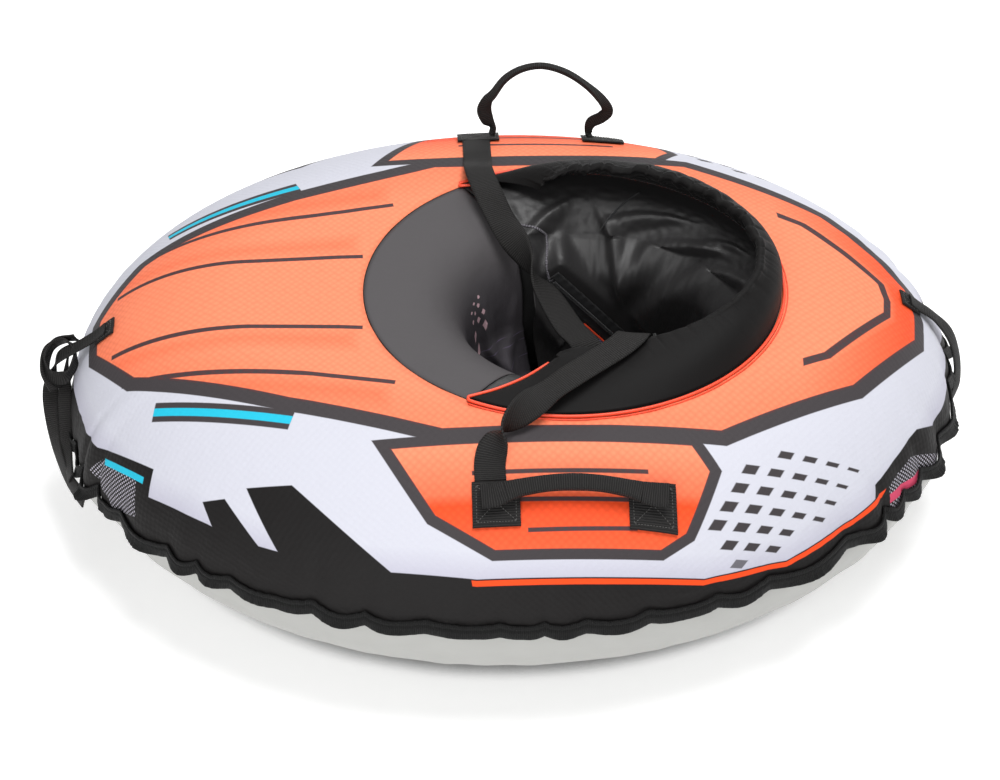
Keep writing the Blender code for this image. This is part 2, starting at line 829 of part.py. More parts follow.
def end_edge_points(side):
    # Runs up the collar's free end, just clear of its edge.
    step = 0.01
    clear = PIPING_RADIUS + FABRIC_THICKNESS + TOUCH_GAP
    foot, rim, _, out = collar_frame(side)
    foot_in, rim_in, _, _ = collar_frame(side * (1 - step))
    edge = (rim - foot).normalized()
    points = []
    for part in (0.0, 0.08, 0.3, 0.6, 0.92):
        away = foot.lerp(rim, part) - foot_in.lerp(rim_in, part)
        away = (away - edge * away.dot(edge)).normalized()
        bulge = COLLAR_BULGE * math.sin(math.pi * part)
        points.append(foot.lerp(rim, part) + out * bulge + away * clear)
    outward = seam_outward(side * DASH_ALPHA)
    along = Vector((-outward.y, outward.x)) * side
    away = (points[0] - foot).xy.normalized()
    tip = (along - edge.xy.normalized()).normalized()
    corner = []
    for direction in (outward + tip, tip, tip + away):
        plan = foot.xy + direction.normalized() * clear
        corner.append(on_top(plan.x, plan.y, PIPING_RADIUS + PIPING_GAP)[0])
    return corner + points


def build_piping():
    count = 44
    points = []
    drop = PIPING_RADIUS + TOUCH_GAP + FABRIC_THICKNESS
    for i in range(count + 1):
        share = -1 + 2 * i / count
        alpha = share * DASH_ALPHA
        outward = seam_outward(alpha)
        plan = seam_plan(alpha) + outward * drop
        point, _ = on_top(plan.x, plan.y, PIPING_RADIUS + PIPING_GAP)
        points.append(point)
    points = end_edge_points(-1)[::-1] + points + end_edge_points(1)
    tube_along("collar_piping", points, PIPING_RADIUS, PIPING_RED, 0.5)


# Webbing pieces

def smooth_line(points, count):
    # Catmull-Rom curve through control rows of numbers, sampled evenly between them.
    padded = [points[0]] + list(points) + [points[-1]]
    made = []
    spans = len(points) - 1
    for i in range(count + 1):
        place = spans * i / count
        k = min(int(place), spans - 1)
        t = place - k
        a, b, c, d = padded[k:k + 4]
        row = []
        for pa, pb, pc, pd in zip(a, b, c, d):
            row.append(0.5 * (
                2 * pb + (pc - pa) * t
                + (2 * pa - 5 * pb + 4 * pc - pd) * t * t
                + (3 * pb - pa - 3 * pc + pd) * t ** 3
            ))
        made.append(row)
    return made


def bar_through(name, stations, colour, roughness):
    # Each station holds a middle, a direction across, a half width and a half thickness.
    lines = [[], [], [], []]
    for i, (middle, across, half_width, half_thickness) in enumerate(stations):
        before = stations[max(0, i - 1)][0]
        after = stations[min(len(stations) - 1, i + 1)][0]
        tangent = (after - before).normalized()
        across = (across - tangent * across.dot(tangent)).normalized()
        normal = tangent.cross(across)
        wide = across * half_width
        thick = normal * half_thickness
        for line, corner in zip(lines, (wide + thick, wide - thick, -wide - thick, thick - wide)):
            line.append(middle + corner)
    return capped_loft(name, lines, colour, roughness)


def strap(name, controls, width, count):
    # A control row holds a place (x, y, z) and the direction across (x, y, z).
    stations = []
    for row in smooth_line(controls, count):
        across = Vector(row[3:6]).normalized()
        stations.append((Vector(row[:3]), across, width / 2, WEBBING_THICKNESS / 2))
    return bar_through(name, stations, BLACK, 0.8)


def laid(x, y, lift):
    point, _ = on_top(x, y, lift)
    return tuple(point)


def lay_patch(name, x, y, length, width, lift=LAID_GAP):
    columns = 5
    rows = []
    for i in range(columns + 1):
        row = []
        for k in range(columns + 1):
            px = x + length * (i / columns - 0.5)
            py = y + width * (k / columns - 0.5)
            point, _ = on_top(px, py, lift)
            row.append(point)
        rows.append(row)
    mesh = loft(name, rows)
    aim_normals(mesh, (x, y, 10 * BODY_HEIGHT))
    patch = add_object(name, mesh, BLACK, 0.8)
    solidify(patch, WEBBING_THICKNESS, 1.0)


def foot_centre(x, side):
    lift = 2 * LAID_GAP + WEBBING_THICKNESS + GRIP_FOOT_RADIUS
    point, _ = on_top(x, side * HANDLE_Y, lift)
    return point


def handle_run(side):
    # The middle of a handle along the body, and the distance between its patches.
    if side > 0:
        return FAR_HANDLE_X, FAR_HANDLE_SPAN
    return NEAR_HANDLE_X, NEAR_HANDLE_SPAN


def handle_axis(side):
    middle, span = handle_run(side)
    left = foot_centre(middle - span / 2 + GRIP_FOOT_INSET, side)
    right = foot_centre(middle + span / 2 - GRIP_FOOT_INSET, side)
    return left, right


def grip_bar(name, side, rise, outline_shares):
    left, right = handle_axis(side)
    span = right - left
    forward = span.normalized()
    rows = smooth_line(outline_shares, 2 * (len(outline_shares) - 1))
    middles = [left + span * row[0] + rise * row[1] for row in rows]
    stations = []
    for i, (middle, row) in enumerate(zip(middles, rows)):
        after = middles[min(len(middles) - 1, i + 1)]
        before = middles[max(0, i - 1)]
        tangent = (after - before).normalized()
        sideways = rise.cross(forward).normalized()
        across = sideways.cross(tangent)
        ends = min(i, len(middles) - 1 - i) / 3
        depth = GRIP_FOOT_RADIUS + (GRIP_HALF_DEPTH * row[2] - GRIP_FOOT_RADIUS) * min(1.0, ends)
        stations.append((middle, across, GRIP_HALF_WIDTH * row[2], depth))
    start = (middles[1] - middles[0]).normalized()
    finish = (middles[-2] - middles[-1]).normalized()
    head = [
        (middle, stations[0][1], stations[0][2], depth)
        for middle, depth in round_end(middles[0], start)
    ]
    tail = [
        (middle, stations[-1][1], stations[-1][2], depth)
        for middle, depth in reversed(round_end(middles[-1], finish))
    ]
    grip = bar_through(name, head + stations + tail, BLACK, 0.8)
    move_origin(grip, left)


def round_end(centre, direction):
    made = []
    for degrees in (78, 50, 24):
        angle = math.radians(degrees)
        middle = centre - direction * GRIP_FOOT_RADIUS * math.sin(angle)
        made.append((middle, GRIP_FOOT_RADIUS * math.cos(angle)))
    return made


def build_handles():
    for side, word in ((1, "far"), (-1, "near")):
        middle, span = handle_run(side)
        for end, place in (("front", -1), ("rear", 1)):
            x = middle + place * span / 2
            lay_patch(f"{word}_handle_{end}_patch", x, side * HANDLE_Y, PATCH_LENGTH, PATCH_WIDTH)
    far_shares = [
        (0.0, 0.0, 0.42), (0.0, 0.08, 0.5), (-0.07, 0.22, 0.8), (-0.11, 0.42, 1.0),
        (0.02, 0.7, 0.8), (0.26, 0.93, 0.75), (0.52, 1.0, 0.75), (0.78, 0.88, 0.75),
        (1.0, 0.6, 0.85), (1.1, 0.32, 1.0), (1.05, 0.17, 0.8), (1.0, 0.07, 0.5),
        (1.0, 0.0, 0.42),
    ]
    grip_bar("far_handle", 1, Vector((0, 0, FAR_GRIP_HEIGHT)), far_shares)
    left, _ = handle_axis(-1)
    _, normal = on_top(left.x, left.y)
    uphill = Vector((0, normal.z, -normal.y)).normalized()
    lying = (uphill * 0.8 + normal * 0.55).normalized() * NEAR_GRIP_BOW
    near_shares = [
        (0.0, 0.0, 0.42), (0.0, 0.3, 0.5), (0.07, 0.65, 0.9), (0.25, 0.9, 1.1),
        (0.5, 1.0, 1.15), (0.75, 0.9, 1.1), (0.93, 0.65, 0.9), (1.0, 0.3, 0.5),
        (1.0, 0.0, 0.42),
    ]
    grip_bar("near_handle", -1, lying, near_shares)


def scaled(shares):
    # Turns shares of the body's length, width and height into a place.
    x, y, z = shares
    return Vector((x * BODY_LENGTH, y * BODY_WIDTH, z * BODY_HEIGHT))


def build_belts():
    lift = LAID_GAP + WEBBING_THICKNESS / 2
    side = (1, 0, 0)
    laid_shares = ((BELT_ANCHOR_Y / BODY_WIDTH, 0), (0.3275, 0), (0.29, 1))
    controls = [
        (*laid(BELT_X, y * BODY_WIDTH, lift + raised * WEBBING_THICKNESS), *side)
        for y, raised in laid_shares
    ]
    path_shares = [
        ((-0.03, 0.2475, 1.061), side),
        ((-0.022, 0.2, 1.061), (1, 0.1, 0)),
        ((-0.005, 0.15, 1.0), (0.9, 0.3, 0)),
        ((0.018, 0.1025, 0.936), (0.2, 0.3, 0.9)),
        ((0.044, 0.0375, 0.875), (-0.9, -0.3, 0.3)),
        ((0.064, -0.0325, 0.871), (-0.95, -0.3, 0)),
        ((0.079, -0.075, 0.889), (-0.97, -0.2, 0)),
        ((0.0865, -0.0931, 0.843), (-1, 0, 0)),
        ((0.0885, -0.0965, 0.782), (-1, 0, 0)),
        ((0.089, -0.0975, 0.721), (-1, 0, 0)),
    ]
    controls += [(*scaled(place), *across) for place, across in path_shares]
    belt = strap("belt_far", controls, BELT_WIDTH, 60)
    move_origin(belt, controls[0][:3])
    end = scaled(path_shares[-1][0])
    start, direction, across = close_loop(belt, end, Vector((0, 0, -1)), Vector((1, 0, 0)))
    build_plug(start, direction, across)
    near, end, direction, across = build_near_belt(lift)
    start, direction, across = close_loop(near, end, direction, across)
    build_socket(start, direction, across)


def build_near_belt(lift):
    # The near half leaves its patch, twists over on the flank and crosses the collar.
    side = (1, 0, 0)
    root_x = BELT_X - WEBBING_THICKNESS
    controls = [
        (*laid(root_x, -BELT_ANCHOR_Y, lift), *side),
        (*laid(root_x, -NEAR_LIE_SHARE * BODY_WIDTH, lift + WEBBING_THICKNESS / 2), *side),
    ]
    path_shares = [
        ((-0.0265, -0.3255, 1.02), (0.85, -0.1, 0.5)),
        ((-0.014, -0.307, 1.067), (0.1, 0, 1)),
        ((0.006, -0.2825, 1.076), (-0.4, 0.5, 0.75)),
        ((0.031, -0.25, 1.073), (-0.6, 0.8, 0)),
        ((0.059, -0.2238, 1.091), (-0.6, 0.8, 0)),
        ((0.087, -0.1975, 1.1), (-0.6, 0.8, 0)),
        ((0.11, -0.176, 1.109), (-0.65, 0.75, 0)),
        ((0.124, -0.1575, 1.111), (-0.85, 0.5, 0)),
        ((0.1305, -0.1425, 1.09), (-1, 0.2, -0.1)),
        ((0.1315, -0.133, 1.045), (-1, 0.1, -0.3)),
        ((0.1335, -0.1265, 1.004), (-0.87, 0.05, -0.5)),
    ]
    controls += [(*scaled(place), *Vector(across).normalized()) for place, across in path_shares]
    belt = strap("belt_near", controls, BELT_WIDTH, 60)
    move_origin(belt, controls[0][:3])
    direction = Vector((0.45, 0.33, -0.83)).normalized()
    return belt, scaled(path_shares[-1][0]), direction, Vector(controls[-1][3:6])


def close_loop(belt, end, direction, across):
    # Sews the belt's end into a loop round the buckle's bar.
    direction = direction.normalized()
    across = (across - direction * across.dot(direction)).normalized()
    half = BELT_WIDTH / 2
    wall = WEBBING_THICKNESS
    inner = BAR_THICKNESS / 2 + LOOP_ROOM
    outer = inner + wall
    pivot = end + direction * (inner + wall / 2)
    sleeve = box_object(
        f"{belt.name}_loop", (-half, -outer, -outer), (half, outer, outer), group=CUTTERS,
    )
    hole = box_object(
        f"{belt.name}_hole", (-BELT_WIDTH, -inner, -inner), (BELT_WIDTH, inner, inner),
        group=CUTTERS,
    )
    soften(sleeve, wall * 0.9)
    for piece, operation in ((sleeve, "UNION"), (hole, "DIFFERENCE")):
        join_or_cut(belt, piece, operation)
        place_along(piece, pivot, direction, across)
    return pivot, direction, across


# Buckle

def add_box(bm, low, high):
    made = bmesh.ops.create_cube(bm, size=1.0)
    middle = (Vector(low) + Vector(high)) / 2
    size = Vector(high) - Vector(low)
    for vert in made["verts"]:
        vert.co = Vector((vert.co.x * size.x, vert.co.y * size.y, vert.co.z * size.z)) + middle


def box_object(name, low, high, colour=BLACK, roughness=0.45, group=PARTS):
    bm = bmesh.new()
    add_box(bm, low, high)
    return add_object(name, finish_mesh(name, bm), colour, roughness, group=group)


def join_or_cut(item, other, operation):
    change = item.modifiers.new(other.name, "BOOLEAN")
    change.object = other
    change.operation = operation
    change.solver = "EXACT"
    other.hide_render = True
    other.display_type = "WIRE"
    other.parent = item


def soften(item, width):
    edge = item.modifiers.new("edges", "BEVEL")
    edge.width = width
    edge.segments = 1
    edge.limit_method = "ANGLE"


def place_along(item, place, direction, across):
    # The piece's own Z runs along the strap and its X across it.
    up = direction.normalized()
    side = (across - up * across.dot(up)).normalized()
    depth = up.cross(side)
    item.matrix_world = Matrix((
        (side.x, depth.x, up.x, place.x),
        (side.y, depth.y, up.y, place.y),
        (side.z, depth.z, up.z, place.z),
        (0, 0, 0, 1),
    ))


def strap_slot(name, thickness):
    half = SLOT_LENGTH / 2
    return box_object(
        name, (-half, -thickness, BAR_MIDDLE), (half, thickness, BAR_MIDDLE + SLOT_HEIGHT),
        group=CUTTERS,
    )


def thin_bar(item, deep):
    # Takes the bar's two faces back, so that the webbing's loop lies flush.
    half = SLOT_LENGTH / 2
    for side, word in ((-1, "lower"), (1, "upper")):
        ends = sorted((side * BAR_THICKNESS / 2, side * 2 * deep))
        relief = box_object(
            f"{item.name}_{word}_relief", (-half, ends[0], -BAR_LENGTH),
            (half, ends[1], BAR_MIDDLE + SLOT_HEIGHT / 2), group=CUTTERS,
        )
        join_or_cut(item, relief, "DIFFERENCE")


def build_socket(place, direction, across):
    half = BUCKLE_WIDTH / 2
    deep = SOCKET_THICKNESS / 2
    mouth = SOCKET_LENGTH - BAR_MIDDLE
    socket = box_object("buckle_socket", (-half, -deep, -BAR_MIDDLE), (half, deep, mouth))
    soften(socket, SOCKET_WALL / 2)
    join_or_cut(socket, strap_slot("socket_slot", SOCKET_THICKNESS), "DIFFERENCE")
    thin_bar(socket, deep)
    bottom = BAR_MIDDLE + SLOT_HEIGHT + BAR_LENGTH
    inner = half - SOCKET_WALL
    hollow = box_object(
        "socket_hollow", (-inner, SOCKET_WALL - deep, bottom),
        (inner, deep - SOCKET_WALL, 2 * mouth), group=CUTTERS,
    )
    join_or_cut(socket, hollow, "DIFFERENCE")
    window_top = mouth - SOCKET_WALL * 4
    window_deep = PRONG_THICKNESS / 2 + TOUCH_GAP
    window = box_object(
        "socket_windows", (-BUCKLE_WIDTH, -window_deep, window_top - WINDOW_LENGTH),
        (BUCKLE_WIDTH, window_deep, window_top), group=CUTTERS,
    )
    join_or_cut(socket, window, "DIFFERENCE")
    place_along(socket, place, direction, across)


def build_plug(place, direction, across):
    half = BUCKLE_WIDTH / 2
    deep = PLUG_THICKNESS / 2
    base_end = PLUG_BASE_LENGTH - BAR_MIDDLE
    plug = box_object("buckle_plug", (-half, -deep, -BAR_MIDDLE), (half, deep, base_end))
    soften(plug, SOCKET_WALL / 2)
    join_or_cut(plug, strap_slot("plug_slot", PLUG_THICKNESS), "DIFFERENCE")
    thin_bar(plug, deep)
    tongue_half = TONGUE_WIDTH / 2
    tongue = box_object(
        "plug_tongue", (-tongue_half, -PRONG_THICKNESS / 2, base_end - SOCKET_WALL),
        (tongue_half, PRONG_THICKNESS / 2, base_end + TONGUE_LENGTH), group=CUTTERS,
    )
    join_or_cut(plug, tongue, "UNION")
    place_along(plug, place, direction, across)
    for side, word in ((-1, "front"), (1, "rear")):
        build_prong(f"buckle_prong_{word}", side, place, direction, across)


def prong_root(side, start, direction, across):
    inner = BUCKLE_WIDTH / 2 - SOCKET_WALL - RUNNING_GAP - PRONG_WIDTH / 2
    down = PLUG_BASE_LENGTH - BAR_MIDDLE + PRONG_WIDTH / 2 + TOUCH_GAP
    return start + across * side * inner + direction * down


def build_prong(name, side, start, direction, across):
    # Outline of a sprung arm with a hook, drawn about its root.
    half = PRONG_WIDTH / 2
    tip = PRONG_LENGTH - half
    outline = [
        (-half * side, 0), (-half * side * 0.7, -half * 0.7),
        (0, -half), (half * side * 0.7, -half * 0.7),
        (half * side, 0), (half * side, tip - PRONG_HOOK_LENGTH),
        ((half + PRONG_HOOK) * side, tip - PRONG_HOOK_LENGTH),
        (half * side, tip), (-half * side * 0.6, tip),
        (-half * side, tip - PRONG_HOOK_LENGTH / 2),
    ]
    curve = bpy.data.curves.new(name, "CURVE")
    curve.dimensions = "2D"
    curve.fill_mode = "BOTH"
    curve.extrude = PRONG_THICKNESS / 2
    line = curve.splines.new("POLY")
    line.points.add(len(outline) - 1)
    for slot, (x, y) in zip(line.points, outline):
        slot.co = (x, y, 0, 1)
    line.use_cyclic_u = True
    prong = bpy.data.objects.new(name, curve)
    prong.data.materials.append(material(name, BLACK, 0.45))
    PARTS.objects.link(prong)
    root = prong_root(side, start, direction, across)
    up = direction.normalized()
    side_way = (across - up * across.dot(up)).normalized()
    depth = side_way.cross(up)
    prong.matrix_world = Matrix((
        (side_way.x, up.x, depth.x, root.x),
        (side_way.y, up.y, depth.y, root.y),
        (side_way.z, up.z, depth.z, root.z),
        (0, 0, 0, 1),
    ))


# Zip

def zip_frame():
    top = Vector((ZIP_TOP_X, ZIP_Y, ZIP_TOP_Z))
    foot = Vector((ZIP_FOOT_X, ZIP_Y, ZIP_FOOT_Z))
    return top, foot


def zip_box(name, along, across, out, colour, roughness, metallic=0.0, group=PARTS):
    # A box given by its reach along the zip, across it and out from the wall.
    top, foot = zip_frame()
    bm = bmesh.new()
    add_box(bm, (along[0], across[0], out[0]), (along[1], across[1], out[1]))
    item = add_object(name, finish_mesh(name, bm), colour, roughness, metallic, group)
    direction = (foot - top).normalized()
    outward = Vector((0, -1, 0))
    side = outward.cross(direction)
    item.matrix_world = Matrix((
        (direction.x, side.x, outward.x, top.x),
        (direction.y, side.y, outward.y, top.y),
        (direction.z, side.z, outward.z, top.z),
        (0, 0, 0, 1),
    ))
    return item


def build_zip():
    top, foot = zip_frame()
    length = (foot - top).length
    half_slit = ZIP_SLIT / 2
    coil_width = (ZIP_CHAIN_WIDTH - ZIP_SLIT) / 2
    face = ZIP_TAPE_THICKNESS / 2
    coil_low = face + TOUCH_GAP
    coil_high = coil_low + ZIP_CHAIN_THICKNESS
    stop = SLIDER_WALL
    for side, word in ((-1, "lower"), (1, "upper")):
        inner = half_slit * side
        outer = (half_slit + ZIP_TAPE_WIDTH) * side
        zip_box(
            f"zip_tape_{word}", (-2 * stop, length + 2 * stop), sorted((inner, outer)),
            (-face, face), BLACK, 0.8,
        )
        coil_outer = (half_slit + coil_width) * side
        zip_box(
            f"zip_coil_{word}", (0, length), sorted((inner, coil_outer)),
            (coil_low, coil_high), BLACK, 0.5,
        )
    chain_half = ZIP_CHAIN_WIDTH / 2
    for word, start in (("top", -TOUCH_GAP - stop), ("foot", length + TOUCH_GAP)):
        zip_box(
            f"zip_stop_{word}", (start, start + stop), (-chain_half, chain_half),
            (coil_low, coil_high), BLACK, 0.4,
        )
    build_slider(length, coil_high, face)
    build_zip_trim(length, half_slit + ZIP_TAPE_WIDTH, -face)


def build_zip_trim(length, tape_edge, wall):
    # Piping along the lower part of the zip, and a pale facing beside it, on the bag's wall.
    top, foot = zip_frame()
    direction = (foot - top).normalized()
    side = Vector((0, -1, 0)).cross(direction)
    away = tape_edge + TOUCH_GAP + ZIP_PIPING_RADIUS
    out = wall + ZIP_PIPING_RADIUS
    line = []
    for share in (ZIP_PIPING_SHARE, 1.0):
        line.append(top.lerp(foot, share) - side * away + Vector((0, -out, 0)))
    tube_along("zip_piping", line, ZIP_PIPING_RADIUS, PIPING_RED, 0.5, resolution=2)
    start = length * FACING_SHARE
    near = away + ZIP_PIPING_RADIUS + TOUCH_GAP
    zip_box(
        "zip_facing", (start, start + FACING_LENGTH), (-near - FACING_WIDTH, -near),
        (wall, wall + FABRIC_THICKNESS), LAVENDER, 0.7,
    )


def build_slider(length, coil_high, face):
    half = SLIDER_WIDTH / 2
    start = length - SLIDER_LENGTH - TOUCH_GAP
    end = start + SLIDER_LENGTH
    plate_low = coil_high + RUNNING_GAP
    plate_high = plate_low + SLIDER_WALL
    back_high = -face - RUNNING_GAP
    back_low = back_high - SLIDER_WALL
    inside = SLIDER_WALL / 2
    neck_half = ZIP_SLIT / 2 - SLIDER_SIDE_GAP
    bridge_top = plate_high + SLIDER_WALL * 3.2
    near = start + SLIDER_WALL
    far = end - SLIDER_WALL
    slider = zip_box(
        "zip_slider", (start, end), (-half, half), (plate_low, plate_high), BLACK, 0.35, 0.6,
    )
    changes = [
        ("slider_back", (start, end), (-half, half), (back_low, back_high), "UNION"),
        (
            "slider_neck", (near, near + 2 * SLIDER_WALL), (-neck_half, neck_half),
            (back_low + inside, plate_high - inside), "UNION",
        ),
        (
            "slider_bridge", (near, far), (-SLIDER_WALL, SLIDER_WALL),
            (plate_high - inside, bridge_top), "UNION",
        ),
        (
            "slider_eye", (near + SLIDER_WALL, far - SLIDER_WALL), (-half, half),
            (plate_high + SLIDER_WALL * 0.4, bridge_top - SLIDER_WALL * 0.8), "DIFFERENCE",
        ),
    ]
    for name, along, across, out, operation in changes:
        piece = zip_box(name, along, across, out, BLACK, 0.35, group=CUTTERS)
        place = piece.matrix_world.copy()
        join_or_cut(slider, piece, operation)
        piece.matrix_world = place
    build_pull(start, end, plate_high)


def build_pull(start, end, plate_high):
    # A flat tab with a loop at its head that hangs in the slider's bridge.
    loop_half = SLIDER_WIDTH * 0.4
    bar_half = SLIDER_WALL * 0.35
    bar_low = plate_high + SLIDER_WALL * 0.4 + TOUCH_GAP
    bar_high = bar_low + 2 * bar_half
    middle = (start + end) / 2
    gap_half = SLIDER_WALL + TOUCH_GAP
    pull = zip_box(
        "zip_pull", (middle - bar_half, middle + PULL_LENGTH), (-loop_half, loop_half),
        (bar_low, bar_high), BLACK, 0.35, 0.6,
    )
    move_origin(pull, pull.matrix_world @ Vector((middle, 0, bar_low + bar_half)))
    gap = zip_box(
        "pull_gap", (middle + bar_half, end + 2 * TOUCH_GAP), (-gap_half, gap_half),
        (bar_low - SLIDER_WALL, bar_high + SLIDER_WALL), BLACK, 0.35, group=CUTTERS,
    )
    place = gap.matrix_world.copy()
    join_or_cut(pull, gap, "DIFFERENCE")
    gap.matrix_world = place


def build_straps():
    lift = LAID_GAP + WEBBING_THICKNESS / 2
    nose_x = TAG_INSET - BODY_LENGTH / 2
    tail_x = BODY_LENGTH / 2 - TAG_INSET
    close = LAID_GAP / 2
    lay_patch("tow_strap_patch", nose_x, 0.0, TAG_LENGTH, STRAP_WIDTH, close)
    lay_patch("rear_strap_patch", tail_x, REAR_STRAP_Y, TAG_LENGTH, STRAP_WIDTH, close)
    reach = TAG_LENGTH / 2 + 3 * TOUCH_GAP
    tow_shares = [
        ((-0.488, -0.0025, 0.75), (0, 1, 0.2)),
        ((-0.512, -0.005, 0.696), (0.2, 0.9, 0.5)),
        ((-0.522, -0.0125, 0.607), (0.5, 0.5, 0.6)),
        ((-0.524, -0.0275, 0.514), (0.7, 0.3, 0.2)),
        ((-0.521, -0.056, 0.429), (0.5, 0.2, 0.8)),
        ((-0.513, -0.094, 0.386), (0.2, 0.1, 0.9)),
        ((-0.4995, -0.1375, 0.371), (0.1, 0.1, 1)),
        ((-0.48, -0.1825, 0.379), (0.0, 0.1, 1)),
    ]
    controls = [(*laid(nose_x - reach, 0, lift), 0, 1, 0)]
    controls += [(*scaled(place), *across) for place, across in tow_shares]
    tow = strap("tow_strap", controls, STRAP_WIDTH * 0.7, 36)
    move_origin(tow, controls[0][:3])
    rear_shares = [
        ((0.486, 0.0213, 0.746), (0, 1, 0)),
        ((0.506, 0.015, 0.661), (0, 1, 0)),
        ((0.5165, 0.0075, 0.543), (0, 1, 0)),
        ((0.518, 0.0, 0.429), (0, 1, 0)),
        ((0.5135, -0.0038, 0.357), (0, 1, 0)),
    ]
    controls = [
        (*laid(tail_x + reach, REAR_STRAP_Y, lift), 0, 1, 0),
        (*laid(tail_x + reach + TAG_LENGTH / 3, REAR_STRAP_Y, lift + LAID_GAP), 0, 1, 0),
    ]
    controls += [(*scaled(place), *across) for place, across in rear_shares]
    rear = strap("rear_strap", controls, STRAP_WIDTH, 24)
    move_origin(rear, controls[0][:3])


build_inner_tube()
build_valve()
build_top_cover()
build_base()
build_hem()
build_liner()
build_floor()
build_dash()
build_collar()
build_piping()
build_handles()
build_belts()
build_zip()
build_straps()
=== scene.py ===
import json
import math
from functools import cache

import bmesh
import bpy
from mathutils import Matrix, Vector, noise

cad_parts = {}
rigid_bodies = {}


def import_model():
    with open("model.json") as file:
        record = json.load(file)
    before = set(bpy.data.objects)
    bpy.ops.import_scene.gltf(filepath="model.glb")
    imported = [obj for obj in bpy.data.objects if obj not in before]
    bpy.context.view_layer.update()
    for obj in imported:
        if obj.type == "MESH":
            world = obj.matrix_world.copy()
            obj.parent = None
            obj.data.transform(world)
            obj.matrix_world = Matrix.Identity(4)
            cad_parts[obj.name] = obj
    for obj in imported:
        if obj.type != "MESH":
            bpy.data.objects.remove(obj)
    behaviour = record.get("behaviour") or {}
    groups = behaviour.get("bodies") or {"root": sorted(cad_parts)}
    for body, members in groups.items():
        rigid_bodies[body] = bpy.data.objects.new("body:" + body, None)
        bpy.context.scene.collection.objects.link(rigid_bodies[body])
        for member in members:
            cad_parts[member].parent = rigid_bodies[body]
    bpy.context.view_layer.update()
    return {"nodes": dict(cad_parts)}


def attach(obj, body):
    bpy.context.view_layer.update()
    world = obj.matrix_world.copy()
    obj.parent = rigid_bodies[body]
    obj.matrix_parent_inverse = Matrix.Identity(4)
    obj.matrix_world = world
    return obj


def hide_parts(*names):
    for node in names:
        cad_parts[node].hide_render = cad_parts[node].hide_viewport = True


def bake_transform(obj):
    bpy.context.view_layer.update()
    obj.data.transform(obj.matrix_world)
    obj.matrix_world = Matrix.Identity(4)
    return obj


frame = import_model()
CAD = frame["nodes"]

# Sizes, as the part's source has them. The hem's height, its ripples and the belt's breadth follow
# the photo instead.
BODY_LENGTH = 1.0
BODY_WIDTH = 0.8
BODY_HEIGHT = 0.28
SHOULDER_WIDTH = 0.2
BASE_FLATTENING = 0.008
HOLE_X = 0.1
HOLE_LENGTH = 0.3
HOLE_WIDTH = 0.24
HOLE_EDGE_ROUNDNESS = 2.2
NOSE_EDGE_ROUNDNESS = 5.0
HEM_NOSE_DROP = 0.016
HEM_HEIGHT = 0.019
HEM_RIPPLES = 46
HEM_SIDE_RISE = 0.008
SEAM_X = 0.06
SEAM_FRONT = 0.225
SEAM_REAR = 0.243
SEAM_SIDE = 0.215
SEAM_GAP = 0.001
DASH_EDGE_X = -0.05
FABRIC = 0.0009
COVER_WALL = 0.0012
LINER_SLACK = 0.014
LINER_HANG = 0.236
LINER_FLOOR = 0.018
RIM_INSET_REAR = 0.02
RIM_INSET_NEAR = 0.085
RIM_INSET_FAR = 0.055
RIM_RISE_REAR = 0.045
RIM_RISE_NEAR = 0.017
RIM_RISE_FAR = 0.055
RIM_END_RISE_SHARE = 0.2
COLLAR_LIFT = 0.0032
COLLAR_BULGE = 0.009
COLLAR_END_SLANT = 0.085
CASING_DEPTH = 0.01
CASING_HEIGHT = 0.013
PIPING_RADIUS = 0.0017
WEBBING = 0.002
BELT_WIDTH = 0.033
HANDLE_RUNS = {1: (0.048, 0.15), -1: (0.0545, 0.163)}
HANDLE_Y = 0.318
PATCH_LENGTH = 0.05
PATCH_WIDTH = 0.044
BELT_X = -0.03
BELT_ANCHOR_Y = 0.2952
NEAR_LIE_Y = 0.2744
STRAP_WIDTH = 0.026
LAID_GAP = 0.0009
GRIP_FOOT_INSET = 0.012
GRIP_FOOT_RADIUS = 0.004
FAR_GRIP_HEIGHT = 0.1
NEAR_GRIP_BOW = 0.02
BAR_THICKNESS = 0.005
LOOP_ROOM = 0.0007
TAG_X = 0.455
TAG_LENGTH = 0.021
REAR_STRAP_Y = 0.02
ZIP_TOP = Vector((0.052, 0.094, 0.21196))
ZIP_FOOT = Vector((0.162, 0.094, 0.084))
ZIP_TAPE_WIDTH = 0.012
ZIP_PITCH = 0.0017
MIDDLE = BODY_HEIGHT / 2
HALF_LENGTH = BODY_LENGTH / 2
HALF_WIDTH = BODY_WIDTH / 2
CREST_X = HALF_LENGTH - SHOULDER_WIDTH
CREST_Y = HALF_WIDTH - SHOULDER_WIDTH
QUARTER = math.pi / 2
TURN = 2 * math.pi
# Length over the skin from the body's widest line up to its crest
SHOULDER_ARC = 0.268


# Shape of the body

def oval(theta, inset):
    # The body's outline in plan, drawn in by inset.
    return Vector(((HALF_LENGTH - inset) * math.cos(theta), (HALF_WIDTH - inset) * math.sin(theta)))


def round_hole(beta, radius, z):
    return Vector((HOLE_X + radius * math.cos(beta), radius * math.sin(beta), z))


def halve(low, high, holds):
    # Closes in on the place between low and high where holds(place) stops being true.
    for _ in range(30):
        middle = (low + high) / 2
        if holds(middle):
            low = middle
        else:
            high = middle
    return low, high


def half_height(z):
    return MIDDLE if z > MIDDLE else MIDDLE + BASE_FLATTENING


def edge_roundness(beta):
    forward = max(0.0, -math.cos(beta))
    return HOLE_EDGE_ROUNDNESS + (NOSE_EDGE_ROUNDNESS - HOLE_EDGE_ROUNDNESS) * forward ** 2


def hole_radius(beta):
    return 1 / math.hypot(math.cos(beta) / (HOLE_LENGTH / 2), math.sin(beta) / (HOLE_WIDTH / 2))


